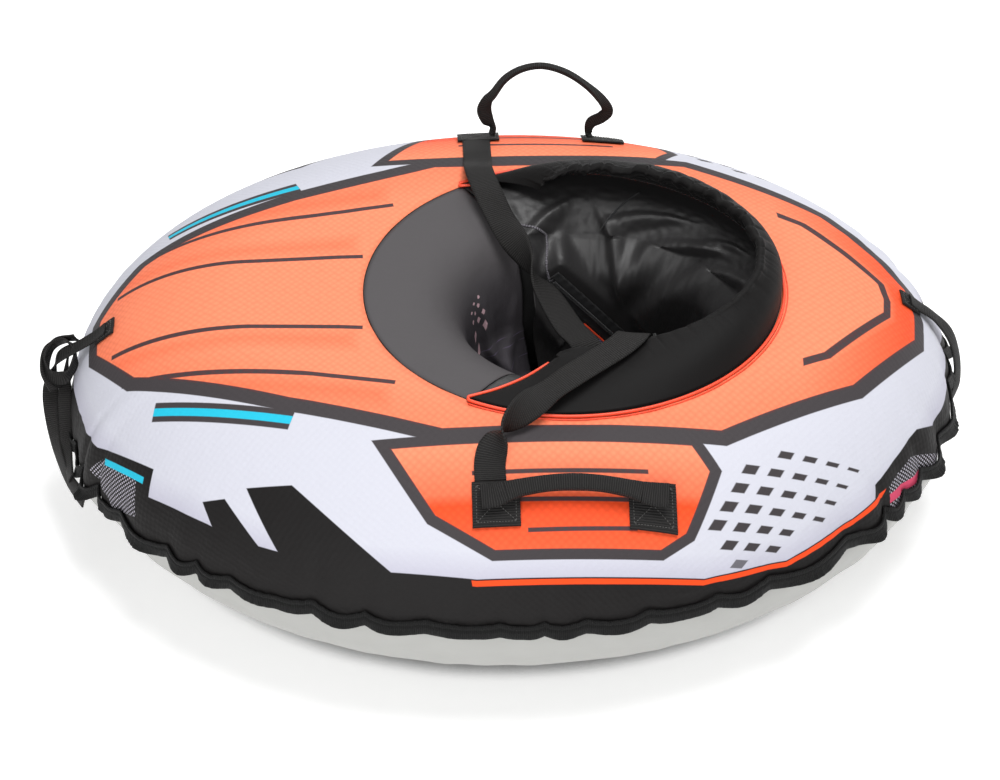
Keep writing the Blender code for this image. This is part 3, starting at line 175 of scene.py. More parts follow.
def crest_polar(theta):
    arm = oval(theta, SHOULDER_WIDTH) - Vector((HOLE_X, 0))
    return math.atan2(arm.y, arm.x), arm.length


def skin_point(theta, turn):
    half = half_height(MIDDLE + turn)
    if abs(turn) <= 1:
        angle = turn * QUARTER
        x, y = oval(theta, SHOULDER_WIDTH * (1 - math.cos(angle)))
        z = MIDDLE + half * math.sin(angle)
    else:
        angle = (abs(turn) - 1) * QUARTER
        beta, crest = crest_polar(theta)
        power = 2 / edge_roundness(beta)
        reach = max(0.0, math.sin(angle)) ** power
        drop = max(0.0, math.cos(angle)) ** power
        radius = crest + (hole_radius(beta) - crest) * reach
        x, y, z = round_hole(beta, radius, MIDDLE + math.copysign(half * drop, turn))
    return Vector((x, y, max(z, 0.0)))


def seam_plan(alpha):
    reach = SEAM_REAR if math.cos(alpha) > 0 else SEAM_FRONT
    return Vector((SEAM_X + reach * math.cos(alpha), SEAM_SIDE * math.sin(alpha)))


def inside_seam(point):
    arm_x = point.x - SEAM_X
    reach = SEAM_REAR if arm_x > 0 else SEAM_FRONT
    return (arm_x / reach) ** 2 + (point.y / SEAM_SIDE) ** 2 < 1


def seam_turn(theta):
    return halve(0.3, 2.0, lambda turn: not inside_seam(skin_point(theta, turn)))[1]


def inset_of(x, y):
    def inside(inset):
        return math.hypot(x / (HALF_LENGTH - inset), y / (HALF_WIDTH - inset)) < 1
    return halve(-SHOULDER_WIDTH, SHOULDER_WIDTH, inside)[0]


def crest_radius(beta):
    a = (math.cos(beta) / CREST_X) ** 2 + (math.sin(beta) / CREST_Y) ** 2
    b = HOLE_X * math.cos(beta) / CREST_X ** 2
    c = (HOLE_X / CREST_X) ** 2 - 1
    return (-b + math.sqrt(b * b - a * c)) / a


def top_height(x, y):
    inset = inset_of(x, y)
    arm = Vector((x - HOLE_X, y))
    beta = math.atan2(arm.y, arm.x)
    crest = crest_radius(beta)
    if inset < SHOULDER_WIDTH * 0.999 and arm.length >= crest:
        across = (SHOULDER_WIDTH - inset) / SHOULDER_WIDTH
        return MIDDLE + MIDDLE * math.sqrt(max(0.0, 1 - across ** 2))
    share = max(0.0, min(1.0, (crest - arm.length) / (crest - hole_radius(beta))))
    power = edge_roundness(beta)
    return MIDDLE + MIDDLE * max(0.0, 1 - share ** power) ** (1 / power)


def on_top(x, y, lift=0.0):
    step = 0.0005
    slope_x = (top_height(x + step, y) - top_height(x - step, y)) / (2 * step)
    slope_y = (top_height(x, y + step) - top_height(x, y - step)) / (2 * step)
    normal = Vector((-slope_x, -slope_y, 1)).normalized()
    return Vector((x, y, top_height(x, y))) + normal * lift, normal


def top_place(x, y, lift):
    return on_top(x, y, lift)[0]


def hem_height(theta):
    nose = max(0.0, -math.cos(theta)) ** 3
    return MIDDLE - HEM_NOSE_DROP * nose + HEM_SIDE_RISE * (1 - nose)


def hem_turn(theta, shift):
    height = hem_height(theta) + shift
    return math.asin((height - MIDDLE) / half_height(height)) / QUARTER


def theta_of_beta(beta):
    x, y, _ = round_hole(beta, crest_radius(beta), 0)
    return math.atan2(y / CREST_Y, x / CREST_X)


DASH_ALPHA = math.acos((DASH_EDGE_X - SEAM_X) / SEAM_FRONT)
CORNER = seam_plan(DASH_ALPHA)
DASH_THETA = theta_of_beta(math.atan2(CORNER.y, CORNER.x - HOLE_X))


def flat_place(theta, turn):
    # Where a point of the cover lies when the cloth is spread out flat.
    if turn > 1:
        return skin_point(theta, turn).xy
    return oval(theta, SHOULDER_WIDTH - SHOULDER_ARC * (1 - turn))


# Building of pieces

def wobble(x, y, z=0.0, size=1.0):
    return noise.noise(Vector((x, y, z)) / size)


def ring_wobble(theta, z, size, reach=1.0):
    return wobble(reach * math.cos(theta), reach * math.sin(theta), z, size)


def step_up(value, low, high):
    t = max(0.0, min(1.0, (value - low) / (high - low)))
    return t * t * (3 - 2 * t)


def run_lengths(points):
    lengths = [0.0]
    for a, b in zip(points, points[1:]):
        lengths.append(lengths[-1] + (b - a).length)
    return lengths


def tangent_at(points, i):
    return (points[min(len(points) - 1, i + 1)] - points[max(0, i - 1)]).normalized()


def squared(across, tangent):
    # The direction nearest to across that stands square to tangent.
    return (across - tangent * across.dot(tangent)).normalized()


def grid_piece(name, columns, rows, place, ring=False, height=None, uv=None, wall=0.0, offset=-1.0,
               marks=None, aim=None):
    # Moves each corner of a flat grid to place(u, v), then pushes it out by height(u, v, co).
    bm = bmesh.new()
    layers = {key: bm.verts.layers.float.new(key) for key in (marks(0.5, 0.5) if marks else ())}
    across = bm.verts.layers.float.new("across")
    along = bm.verts.layers.float.new("along")
    layer = bm.loops.layers.uv.new("UVMap")
    bmesh.ops.create_grid(bm, x_segments=columns, y_segments=rows, size=0.5)
    for vert in bm.verts:
        vert[across] = vert.co.x + 0.5
        vert[along] = vert.co.y + 0.5
    for face in bm.faces:
        for loop in face.loops:
            u, v = loop.vert.co.x + 0.5, loop.vert.co.y + 0.5
            loop[layer].uv = uv(u, v) if uv else (u, v)
    for vert in bm.verts:
        u, v = vert.co.x + 0.5, vert.co.y + 0.5
        vert.co = place(u, v)
        for key, value in (marks(u, v) if marks else {}).items():
            vert[layers[key]] = value
    if ring:
        seam = [vert for vert in bm.verts if vert[across] < 1e-4 or vert[across] > 0.9999]
        bmesh.ops.remove_doubles(bm, verts=seam, dist=1e-6)
    bm.normal_update()
    if aim is not None:
        facing = sum(
            face.normal.dot(Vector(aim) - face.calc_center_median()) * face.calc_area()
            for face in bm.faces
        )
        if facing < 0:
            bmesh.ops.reverse_faces(bm, faces=bm.faces)
            bm.normal_update()
    if height:
        pushes = [vert.normal * height(vert[across], vert[along], vert.co) for vert in bm.verts]
        for vert, push in zip(bm.verts, pushes):
            vert.co += push
    return finish_piece(name, bm, wall, offset)


def finish_piece(name, bm, wall=0.0, offset=-1.0):
    mesh = bpy.data.meshes.new(name)
    for face in bm.faces:
        face.smooth = True
    bm.to_mesh(mesh)
    bm.free()
    piece = bpy.data.objects.new(name, mesh)
    bpy.context.scene.collection.objects.link(piece)
    if wall:
        solid = piece.modifiers.new("wall", "SOLIDIFY")
        solid.thickness = wall
        solid.offset = offset
        solid.use_quality_normals = True
    return piece


def sweep(name, stations, section):
    # stations: middle, across, half width, half thickness. section: shares of both, in a ring.
    count, last = len(section), len(stations) - 1
    middles = [station[0] for station in stations]
    lengths = run_lengths(middles)
    frames = []
    for i, (middle, across, wide, thick) in enumerate(stations):
        tangent = tangent_at(middles, i)
        across = squared(across, tangent)
        frames.append((middle, across, tangent.cross(across), wide, thick))
    bm = bmesh.new()
    layer = bm.loops.layers.uv.new("UVMap")
    bmesh.ops.create_grid(bm, x_segments=count, y_segments=last, size=0.5)
    spots = {
        vert: (round((vert.co.x + 0.5) * count) % count, round((vert.co.y + 0.5) * last))
        for vert in bm.verts
    }
    for face in bm.faces:
        for loop in face.loops:
            i, k = spots[loop.vert]
            loop[layer].uv = (lengths[k], frames[k][3] * section[i][0])
    for vert, (i, k) in spots.items():
        middle, across, normal, wide, thick = frames[k]
        vert.co = middle + across * wide * section[i][0] + normal * thick * section[i][1]
    bmesh.ops.remove_doubles(bm, verts=bm.verts, dist=1e-7)
    rims = [edge for edge in bm.edges if len(edge.link_faces) == 1]
    bmesh.ops.holes_fill(bm, edges=rims, sides=0)
    bmesh.ops.recalc_face_normals(bm, faces=bm.faces)
    return finish_piece(name, bm)


def smooth_line(points, count):
    padded = [points[0]] + list(points) + [points[-1]]
    made = []
    spans = len(points) - 1
    for i in range(count + 1):
        place = spans * i / count
        k = min(int(place), spans - 1)
        t = place - k
        row = []
        for pa, pb, pc, pd in zip(*padded[k:k + 4]):
            row.append(0.5 * (
                2 * pb + (pc - pa) * t
                + (2 * pa - 5 * pb + 4 * pc - pd) * t * t
                + (3 * pb - pa - 3 * pc + pd) * t ** 3
            ))
        made.append(row)
    return made


# Materials

class Paint:
    def __init__(self, name, colour=(0.5, 0.5, 0.5), roughness=0.6, **settings):
        self.material = bpy.data.materials.new(name)
        self.material.use_nodes = True
        self.tree = self.material.node_tree
        self.shader = self.tree.nodes["Principled BSDF"]
        self.shader.inputs["Base Color"].default_value = (*colour, 1)
        self.shader.inputs["Roughness"].default_value = roughness
        for key, value in settings.items():
            self.shader.inputs[key.replace("_", " ")].default_value = value

    def node(self, kind, inputs=(), **settings):
        made = self.tree.nodes.new("ShaderNode" + kind)
        for key, value in settings.items():
            setattr(made, key, value)
        for slot, value in dict(inputs).items():
            self.feed(made.inputs[slot], value)
        return made

    def feed(self, socket, value):
        if isinstance(value, bpy.types.Node):
            value = value.outputs[0]
        if isinstance(value, bpy.types.NodeSocket):
            self.tree.links.new(value, socket)
        else:
            socket.default_value = value

    def sums(self, operation, *values):
        return self.node("Math", enumerate(values), operation=operation).outputs[0]

    def times(self, a, b):
        return self.sums("MULTIPLY", a, b)

    def least(self, a, b):
        return self.sums("MINIMUM", a, b)

    def ramp(self, value, low, high):
        return self.node("MapRange", {"Value": value, "From Min": low, "From Max": high}).outputs[0]

    def mix(self, share, a, b):
        return self.node("Mix", {"Factor": share, "A": a, "B": b}, data_type="RGBA").outputs["Result"]

    def mark(self, name):
        return self.node("Attribute", attribute_name=name).outputs["Fac"]

    def uv(self):
        return self.node("UVMap").outputs[0]

    def split(self, place):
        return self.node("SeparateXYZ", {0: place}).outputs

    def cells(self, place, size, randomness):
        return self.node("TexVoronoi", {"Vector": place, "Scale": size, "Randomness": randomness},
                         voronoi_dimensions="2D").outputs["Distance"]

    def depth(self, place, corners):
        # How far inside a convex outline a place of the flat cloth lies. Corners run anticlockwise.
        best = None
        for (ax, ay), (bx, by) in zip(corners, corners[1:] + corners[:1]):
            length = math.hypot(bx - ax, by - ay)
            across, up = (ay - by) / length, (bx - ax) / length
            side = self.node("VectorMath", {0: place, 1: (across, up, -across * ax - up * ay)},
                             operation="DOT_PRODUCT").outputs["Value"]
            best = side if best is None else self.least(best, side)
        return best

    def widest(self, *depths):
        best = depths[0]
        for other in depths[1:]:
            best = self.sums("MAXIMUM", best, other)
        return best

    def rim(self, depth, inner, outer):
        # A line along an outline, from inner inside it to outer beyond it.
        middle, half = (inner - outer) / 2, (inner + outer) / 2
        away = self.sums("ABSOLUTE", self.sums("SUBTRACT", depth, middle))
        return self.sums("SUBTRACT", half, away)

    def stroke(self, place, start, end, half):
        # A straight stroke with square ends.
        a, b = Vector(start), Vector(end)
        side = (b - a).orthogonal().normalized() * half
        return self.depth(place, [a - side, b - side, b + side, a + side])

    def objects(self):
        return self.node("TexCoord").outputs["Object"]

    def noise(self, vector, scale, detail):
        return self.node("TexNoise", {"Vector": vector, "Scale": scale, "Detail": detail}).outputs["Fac"]

    def wave(self, vector, pitch, direction):
        # The wave texture draws its bands 20 / (2 pi) times as close as its scale says.
        return self.node("TexWave", {"Vector": vector, "Scale": TURN / 20 / pitch},
                         bands_direction=direction).outputs["Fac"]

    def bump(self, height, distance, strength=1.0, after=None):
        made = self.node("Bump", {"Height": height, "Distance": distance, "Strength": strength})
        if after is not None:
            self.feed(made.inputs["Normal"], after)
        return made.outputs[0]

    def finish(self, colour=None, normal=None):
        for slot, value in (("Base Color", colour), ("Normal", normal)):
            if value is not None:
                self.feed(self.shader.inputs[slot], value)
        return self.material


ORANGE = (0.95, 0.265, 0.138, 1)
DEEP_ORANGE = (0.86, 0.07, 0.012, 1)
PRINT_BLACK = (0.011, 0.01, 0.01, 1)
PRINT_GREY = (0.05, 0.044, 0.047, 1)
PALE = (0.56, 0.565, 0.63, 1)
CYAN = (0.02, 0.48, 0.66, 1)
ROSE = (0.6, 0.06, 0.13, 1)

# Print of the top cover on the flat cloth, in metres from the body's middle. The near and the far
# half are alike, so each outline is drawn once; corners run anticlockwise.
HOOD = [
    (-0.475, -0.1), (0.475, -0.1), (0.452, 0.045), (0.36, 0.145), (0.21, 0.226), (-0.08, 0.226),
    (-0.24, 0.17), (-0.41, 0.096), (-0.468, 0.03),
]
PANEL = [
    (-0.135, 0.241), (0.178, 0.241), (0.196, 0.269), (0.172, 0.338), (0.145, 0.358),
    (-0.03, 0.358), (-0.09, 0.318),
]
FIELD = [
    (-0.53, -0.1), (0.545, -0.1), (0.53, 0.06), (0.47, 0.185), (0.38, 0.295), (0.3, 0.358),
    (0.2, 0.388), (-0.05, 0.388), (-0.2, 0.365), (-0.3, 0.32), (-0.42, 0.235), (-0.5, 0.12), (-0.53, 0.03),
]
STRIPED = [(-0.07, 0.2), (0.42, 0.2), (0.42, 0.6), (-0.04, 0.6)]
NOSE_SIDE = [(-0.7, 0.11), (-0.515, 0.125), (-0.395, 0.212), (-0.43, 0.262), (-0.7, 0.4)]
TAIL_SIDE = [(0.452, 0.165), (0.7, 0.02), (0.7, 0.4), (0.43, 0.35), (0.4, 0.25)]
SLANTS = [
    [(-0.285, 0.262), (-0.235, 0.268), (-0.1, 0.42), (-0.24, 0.42)],
    [(-0.34, 0.265), (-0.312, 0.268), (-0.27, 0.36), (-0.33, 0.36)],
]
MESH = [(-0.51, 0.165), (-0.478, 0.168), (-0.425, 0.212), (-0.452, 0.252), (-0.5, 0.23)]
TAIL_END = [(0.335, -0.2), (0.6, -0.2), (0.6, 0.2), (0.3, 0.2)]
TAIL_MESH = [(0.452, 0.2), (0.52, 0.165), (0.53, 0.21), (0.45, 0.275), (0.425, 0.245)]
HATCH = [(0.215, 0.262), (0.3, 0.222), (0.37, 0.235), (0.36, 0.285), (0.25, 0.37), (0.195, 0.36)]
RIBS = [((-0.44, 0.05), (-0.165, 0.062)), ((-0.425, 0.098), (-0.13, 0.155))]
PANEL_BARS = [
    ((-0.05, 0.275), (0.13, 0.274)), ((-0.02, 0.304), (0.125, 0.304)), ((0.005, 0.336), (0.118, 0.334)),
]
GLOW = ((-0.385, 0.148), (-0.235, 0.196))
NOSE_GLOW = ((-0.475, 0.172), (-0.415, 0.219))


def hatching(paint, place):
    # Rows of small slanted bars that grow thinner towards the tail. A bar is drawn where its
    # middle lies inside the outline, so none is cut.
    wide, high, slant = 0.028, 0.021, 0.4
    along, across, _ = paint.split(place)
    row = paint.times(across, 1 / high)
    column = paint.sums("MULTIPLY_ADD", along, 1 / wide, paint.times(row, slant))
    row_middle = paint.sums("ADD", paint.sums("FLOOR", row), 0.5)
    middle = paint.sums("ADD", paint.sums("FLOOR", column), 0.5)
    x = paint.times(paint.sums("MULTIPLY_ADD", row_middle, -slant, middle), wide)
    y = paint.times(row_middle, high)
    centre = paint.node("CombineXYZ", {"X": x, "Y": y, "Z": 1.0})
    along = paint.sums("SUBTRACT", 0.27, paint.sums("ABSOLUTE", paint.sums("SUBTRACT", column, middle)))
    slim = paint.times(paint.sums("SUBTRACT", 0.43, x), 1.25)
    tall = paint.sums("SUBTRACT", slim, paint.sums("ABSOLUTE", paint.sums("SUBTRACT", row, row_middle)))
    bar = paint.times(paint.least(along, tall), 0.02)
    return paint.least(bar, paint.depth(centre, HATCH))


def cover_paint():
    paint = Paint("printed_cloth", roughness=0.6, Specular_IOR_Level=0.14)
    spread = paint.uv()
    length, side, _ = paint.split(spread)
    lower = paint.sums("ABSOLUTE", side)
    place = paint.node("CombineXYZ", {"X": length, "Y": lower, "Z": 1.0})

    def inside(depth):
        return paint.ramp(depth, -0.0005, 0.0005)

    hood = paint.depth(place, HOOD)
    panel = paint.depth(place, PANEL)
    orange = paint.widest(hood, panel)
    low = paint.times(paint.depth(place, FIELD), -1.0)
    sides = [paint.depth(place, shape) for shape in (NOSE_SIDE, TAIL_SIDE, *SLANTS)]
    black = paint.widest(
        paint.rim(hood, 0.003, 0.014), paint.rim(panel, 0.002, 0.01),
        *[paint.stroke(place, *rib, 0.0032) for rib in RIBS],
        *[paint.stroke(place, *bar, 0.0024) for bar in PANEL_BARS],
        paint.least(paint.rim(hood, 0.047, -0.038), paint.depth(place, TAIL_END)),
        paint.stroke(place, *GLOW, 0.011),
        hatching(paint, place),
    )
    darkest = paint.widest(low, *sides)
    mesh = paint.widest(paint.depth(place, MESH), paint.depth(place, TAIL_MESH))
    dots = paint.cells(spread, 240.0, 0.0)
    glow = paint.widest(paint.stroke(place, *GLOW, 0.0045), paint.stroke(place, *NOSE_GLOW, 0.004))
    stripe = paint.least(paint.rim(low, 0.0085, -0.0018), paint.depth(place, STRIPED))
    light = paint.sums("MULTIPLY_ADD", paint.ramp(hood, 0.0, 0.05), 0.22, 0.78)
    for start, end in RIBS:
        band = paint.depth(place, [start, end, (end[0], end[1] + 0.045), (start[0], start[1] + 0.03)])
        light = paint.times(light, paint.sums("MULTIPLY_ADD", paint.ramp(band, 0.0, 0.02), -0.3, 1.0))
    tail_glow = paint.times(paint.ramp(length, 0.3, 0.44), paint.ramp(hood, 0.048, 0.03))
    light = paint.times(light, paint.sums("MULTIPLY_ADD", tail_glow, -0.85, 1.0))
    upper = paint.times(paint.ramp(lower, 0.31, 0.296), paint.ramp(lower, 0.34, 0.25))
    under = paint.times(paint.ramp(lower, 0.3, 0.37), 0.3)
    light = paint.widest(
        paint.times(light, inside(hood)), paint.times(paint.widest(upper, under), inside(panel)),
    )
    colour = paint.mix(inside(orange), PALE, paint.mix(light, DEEP_ORANGE, ORANGE))
    colour = paint.mix(paint.times(paint.ramp(low, -0.03, 0.0), 0.25), colour, (0.2, 0.16, 0.3, 1))
    spots = paint.mix(paint.ramp(dots, 0.35, 0.25), PRINT_BLACK, (0.42, 0.4, 0.46, 1))
    tail = paint.least(paint.stroke(place, (0.43, 0.262), (0.5, 0.2), 0.006), mesh)
    layers = (
        (black, PRINT_GREY), (darkest, PRINT_BLACK), (mesh, spots), (tail, ROSE), (stripe, DEEP_ORANGE),
        (glow, CYAN),
    )
    for depth, ink in layers:
        colour = paint.mix(inside(depth), colour, ink)
    cells = paint.cells(paint.node("Mapping", {"Vector": spread, "Rotation": (0, 0, 0.785)}), 150.0, 0.22)
    # The orange is painted darker red towards the cells' borders: painted shade of the embossed honeycomb.
    emboss_shade = paint.times(paint.ramp(cells, 0.1, 0.75), paint.times(paint.ramp(orange, 0.0, 0.001), 0.2))
    colour = paint.mix(emboss_shade, colour, (0.25, 0.0, 0.0, 1))
    rough = paint.bump(paint.noise(spread, 40.0, 3.0), 0.0015, 0.5)
    return paint.finish(colour, paint.bump(cells, 0.0008, 0.6, rough))


def plain_paint(name, colour, roughness, grain, grain_size, **settings):
    paint = Paint(name, colour, roughness, **settings)
    return paint.finish(normal=paint.bump(paint.noise(paint.objects(), grain_size, 3.0), grain, 0.6))


def webbing_paint(name, colour, pitch):
    # Ribs across the run of the tape, pitch apart, and finer weft along it.
    paint = Paint(name, colour, 0.62, Specular_IOR_Level=0.17)
    place = paint.uv()
    ribs = paint.wave(place, pitch, "X")
    high = paint.sums("ADD", ribs, paint.times(paint.wave(place, 0.0011, "Y"), 0.35))
    high = paint.sums("ADD", high, paint.times(paint.noise(place, 900.0, 2.0), 0.5))
    # The rib crests are painted lighter than the tape's own colour: a painted highlight on the ribs.
    painted_light_colour = paint.mix(paint.times(ribs, 0.8), (*colour, 1), (*(c * 3.0 for c in colour), 1))
    return paint.finish(painted_light_colour, paint.bump(high, 0.0007, 0.9))


def cloth_paint(name, colour, roughness, sheen, shine):
    paint = Paint(name, colour, roughness, Specular_IOR_Level=shine, Sheen_Weight=sheen, Sheen_Roughness=0.4)
    creases = paint.bump(paint.noise(paint.objects(), 26.0, 3.0), 0.003, 0.3)
    weave = paint.noise(paint.objects(), 1500.0, 1.0)
    return paint.finish(normal=paint.bump(weave, 0.0003, 0.5, creases))


def dash_paint():
    paint = Paint("dash_cloth", roughness=0.6, Specular_IOR_Level=0.2)
    # Towards the skirt down in the hole the cloth is painted a little lighter and bluer: painted light where
    # the lamps reach it less.
    down = paint.ramp(paint.split(paint.uv())[1], 0.1, 0.2)
    colour = paint.mix(down, (0.075, 0.07, 0.073, 1), (0.08, 0.073, 0.084, 1))
    for mark, ink in (("strip", (0.16, 0.13, 0.2, 1)), ("fleck", (0.75, 0.5, 0.55, 1))):
        colour = paint.mix(paint.ramp(paint.mark(mark), -0.0003, 0.0003), colour, ink)
    creases = paint.bump(paint.noise(paint.objects(), 32.0, 4.0), 0.004, 0.35)
    weave = paint.noise(paint.objects(), 1500.0, 1.0)
    return paint.finish(colour, paint.bump(weave, 0.0003, 0.5, creases))


COVER = cover_paint()
BASE = plain_paint("pvc_base", (0.335, 0.335, 0.32), 0.4, 0.0008, 60.0)
BINDING = webbing_paint("binding_tape", (0.004, 0.004, 0.004), 0.0018)
WEB = webbing_paint("webbing", (0.0105, 0.01, 0.0098), 0.0024)
# The seat bag and the collar are one cloth in two copies: the bag's copy is painted lighter and shinier,
# painted light, and the collar's darker and duller, painted shade.
LIT_SEAT_CLOTH = cloth_paint("seat_cloth_painted_light", (0.0205, 0.0196, 0.02), 0.48, 0.05, 0.5)
SHADED_COLLAR_CLOTH = cloth_paint("collar_cloth_painted_shade", (0.0075, 0.007, 0.007), 0.6, 0.03, 0.1)
DASH = dash_paint()
PIPE = plain_paint("piping_cord", (0.9, 0.08, 0.03), 0.45, 0.0003, 900.0)
BLACK_PLASTIC = plain_paint("black_plastic", (0.02, 0.02, 0.02), 0.36, 0.0001, 1500.0)
GREY_METAL = plain_paint("grey_metal", (0.55, 0.56, 0.58), 0.32, 0.0001, 900.0, Metallic=1.0)
BRASS = plain_paint("brass", (0.75, 0.55, 0.24), 0.3, 0.0001, 900.0, Metallic=1.0)
RUBBER = plain_paint("tube_rubber", (0.03, 0.03, 0.03), 0.6, 0.0003, 400.0)
TAPE = cloth_paint("zip_tape", (0.03, 0.03, 0.031), 0.7, 0.08, 0.2)
NYLON = plain_paint("zip_nylon", (0.045, 0.045, 0.047), 0.35, 0.0001, 900.0)
EDGING = webbing_paint("edge_stitching", (0.09, 0.085, 0.095), 0.0016)
# The thread is painted a lighter grey than the black webbing it is sewn on: a painted highlight on the
# stitches.
THREAD_PAINTED_HIGHLIGHT = plain_paint("black_thread_painted_highlight", (0.09, 0.087, 0.083), 0.6, 0.0001, 2000.0)
FACING = plain_paint("pale_cloth", (0.42, 0.36, 0.62), 0.6, 0.0003, 900.0)


def dress(piece, paint, body="body", slot=None, stands_for=(), bend=None):
    piece.data.materials.clear()
    piece.data.materials.append(paint)
    if bend:
        tuple(bend[0])
        tuple(bend[1])
        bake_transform(piece)
    else:
        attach(piece, body)
    if stands_for:
        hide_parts(*stands_for)
    return piece


# Covers and hem

def lobes(theta):
    # 0 at the pinches of the hem, 1 in the middle of the loose scallops between them.
    wave = math.sin(HEM_RIPPLES / 2 * theta + 4.2 * ring_wobble(theta, 0.3, 0.36))
    return math.sqrt(wave * wave + 0.006) / 1.003


def ripple_strength(theta):
    return (0.3 + 0.7 * math.cos(theta) ** 2) * (0.5 + 1.7 * abs(ring_wobble(theta, 5.1, 0.17)))


def hem_drop(theta):
    # How far the tape hangs below its middle line.
    return 0.0125 * ripple_strength(theta) * (lobes(theta) ** 0.8 - 0.62)


@cache
def cover_limits(theta):
    return hem_turn(theta, -hem_drop(theta)), seam_turn(theta)


def cover_turn(u, v):
    theta = round(TURN * (u % 1.0), 9)
    start, end = cover_limits(theta)
    return theta, start + (end - start) * (0.55 * v + 0.45 * v * v)


def swell(theta):
    return 0.0115 * ripple_strength(theta) * (lobes(theta) ** 0.6 - 0.26)


def cover_height(u, v, co):
    # Creases run up from the hem's pinches; the cloth between them is blown out.
    theta, turn = cover_turn(u, v)
    away = max(0.0, turn - cover_turn(u, 0.0)[1]) * SHOULDER_ARC
    reach = 0.022 + 0.034 * ripple_strength(theta) + 0.012 * ring_wobble(theta, 4.0, 0.3, 3)
    push = swell(theta) * math.exp(-(away / reach) ** 1.3)
    push += 0.0011 * ring_wobble(theta, away * 4, 0.03) * math.exp(-away / 0.05)
    return push + 0.0009 * wobble(co.x, co.y, 3.0, 0.03) * math.exp(-(1 - v) * 12)


cover = grid_piece(
    "printed_cover", 640, 74, lambda u, v: skin_point(*cover_turn(u, v)), ring=True,
    height=cover_height, uv=lambda u, v: tuple(flat_place(*cover_turn(u, v))),
    aim=(0, 0, 5), wall=COVER_WALL,
)
dress(cover, COVER, slot="printed_cover", stands_for=["top_cover"])


# Share of the base's rows that lie on the flank; the rest are its flat middle
FLANK_SHARE = 0.85


def base_turn(u, v):
    theta, start = cover_turn(u, 0.0)
    return theta, start + (-1 - start) * v


def base_height(u, v, co):
    theta, turn = base_turn(u, v)
    away = max(0.0, base_turn(u, 0.0)[1] - turn) * SHOULDER_ARC
    fade = math.exp(-away / (0.02 + 0.045 * ripple_strength(theta)))
    lift = max(0.0, min(1.0, co.z / 0.03))
    return (swell(theta) * fade + 0.0012 * ring_wobble(theta, away * 3, 0.12, 2)) * lift


def base_place(u, v):
    if v <= FLANK_SHARE:
        return skin_point(*base_turn(u, v / FLANK_SHARE))
    return (oval(TURN * (u % 1.0), SHOULDER_WIDTH) * (1 - v) / (1 - FLANK_SHARE)).to_3d()


base = grid_piece(
    "pvc_base", 560, 60, base_place, ring=True,
    height=lambda u, v, co: base_height(u, min(1.0, v / FLANK_SHARE), co), aim=(0, 0, -5), wall=COVER_WALL,
)
dress(base, BASE, slot="base_cover", stands_for=["bottom_cover"])


def hem_place(u, v):
    # A bound edge: a thick flat fold of tape with a stitched groove, its lower edge flaring out.
    theta = TURN * (u % 1.0)
    full = lobes(theta)
    fine = ring_wobble(theta, 9.0, 0.008)
    lap = TURN * v
    up = HEM_HEIGHT / 2 * math.cos(lap)
    out = 0.0021 + 0.002 * math.copysign(abs(math.sin(lap)) ** 0.6, math.sin(lap))
    if math.sin(lap) > 0:
        out -= 0.0014 * math.exp(-((up - HEM_HEIGHT * 0.2) / 0.0013) ** 2)
    lean = max(0.0, -2 * up / HEM_HEIGHT) ** 1.2
    out += 0.0003 + lean * (0.0085 * ripple_strength(theta) * full + 0.0016 * fine)
    z = hem_height(theta) - hem_drop(theta) + up * (1 - 0.12 * full) + 0.0012 * fine
    across = math.sqrt(max(0.0, 1 - ((z - MIDDLE) / half_height(z)) ** 2))
    inset = SHOULDER_WIDTH * (1 - across) - max(out + swell(theta), -0.0005)
    return Vector((*oval(theta, inset), z))


def merge(piece):
    bm = bmesh.new()
    bm.from_mesh(piece.data)
    bmesh.ops.remove_doubles(bm, verts=bm.verts, dist=1e-6)
    bmesh.ops.recalc_face_normals(bm, faces=bm.faces)
    bm.to_mesh(piece.data)
    bm.free()
    return piece


hem = merge(grid_piece(
    "hem_tape", 1080, 26, hem_place, ring=True,
    uv=lambda u, v: (u * 2.83, v * 2 * HEM_HEIGHT),
))
dress(hem, BINDING, slot="binding", stands_for=["hem_binding"])


# Seat bag and front panel

def foot_radius(beta):
    return (hole_radius(beta) - LINER_SLACK) * 0.7


def wall_point(beta, height, top, swell):
    share = (top - height) / (top - LINER_FLOOR)
    drawn_in = max(0.0, share - 0.5) / 0.5
    outer = hole_radius(beta) - LINER_SLACK - swell
    return round_hole(beta, outer + (foot_radius(beta) - outer) * drawn_in, height)


def fold_line(a, d, start, end, width, height):
    # One long soft fold between two places of the spread cloth, fading out at both ends.
    run_a, run_d = end[0] - start[0], end[1] - start[1]
    length = math.hypot(run_a, run_d)
    along = ((a - start[0]) * run_a + (d - start[1]) * run_d) / length ** 2
    off = ((a - start[0]) * -run_d + (d - start[1]) * run_a) / length
    off += 0.012 * math.sin(math.pi * along)
    fade = step_up(along, -0.25, 0.3) * (1 - step_up(along, 0.7, 1.25))
    spread = width * (0.6 + 0.8 * max(0.0, min(1.0, along)))
    side = off / spread if off > 0 else off / (spread * 0.45)
    return height * fade * math.exp(-side * side)


def folds(a, d, table):
    return sum(fold_line(a, d, *row) for row in table) + 0.0012 * wobble(a, d, 2.0, 0.05)


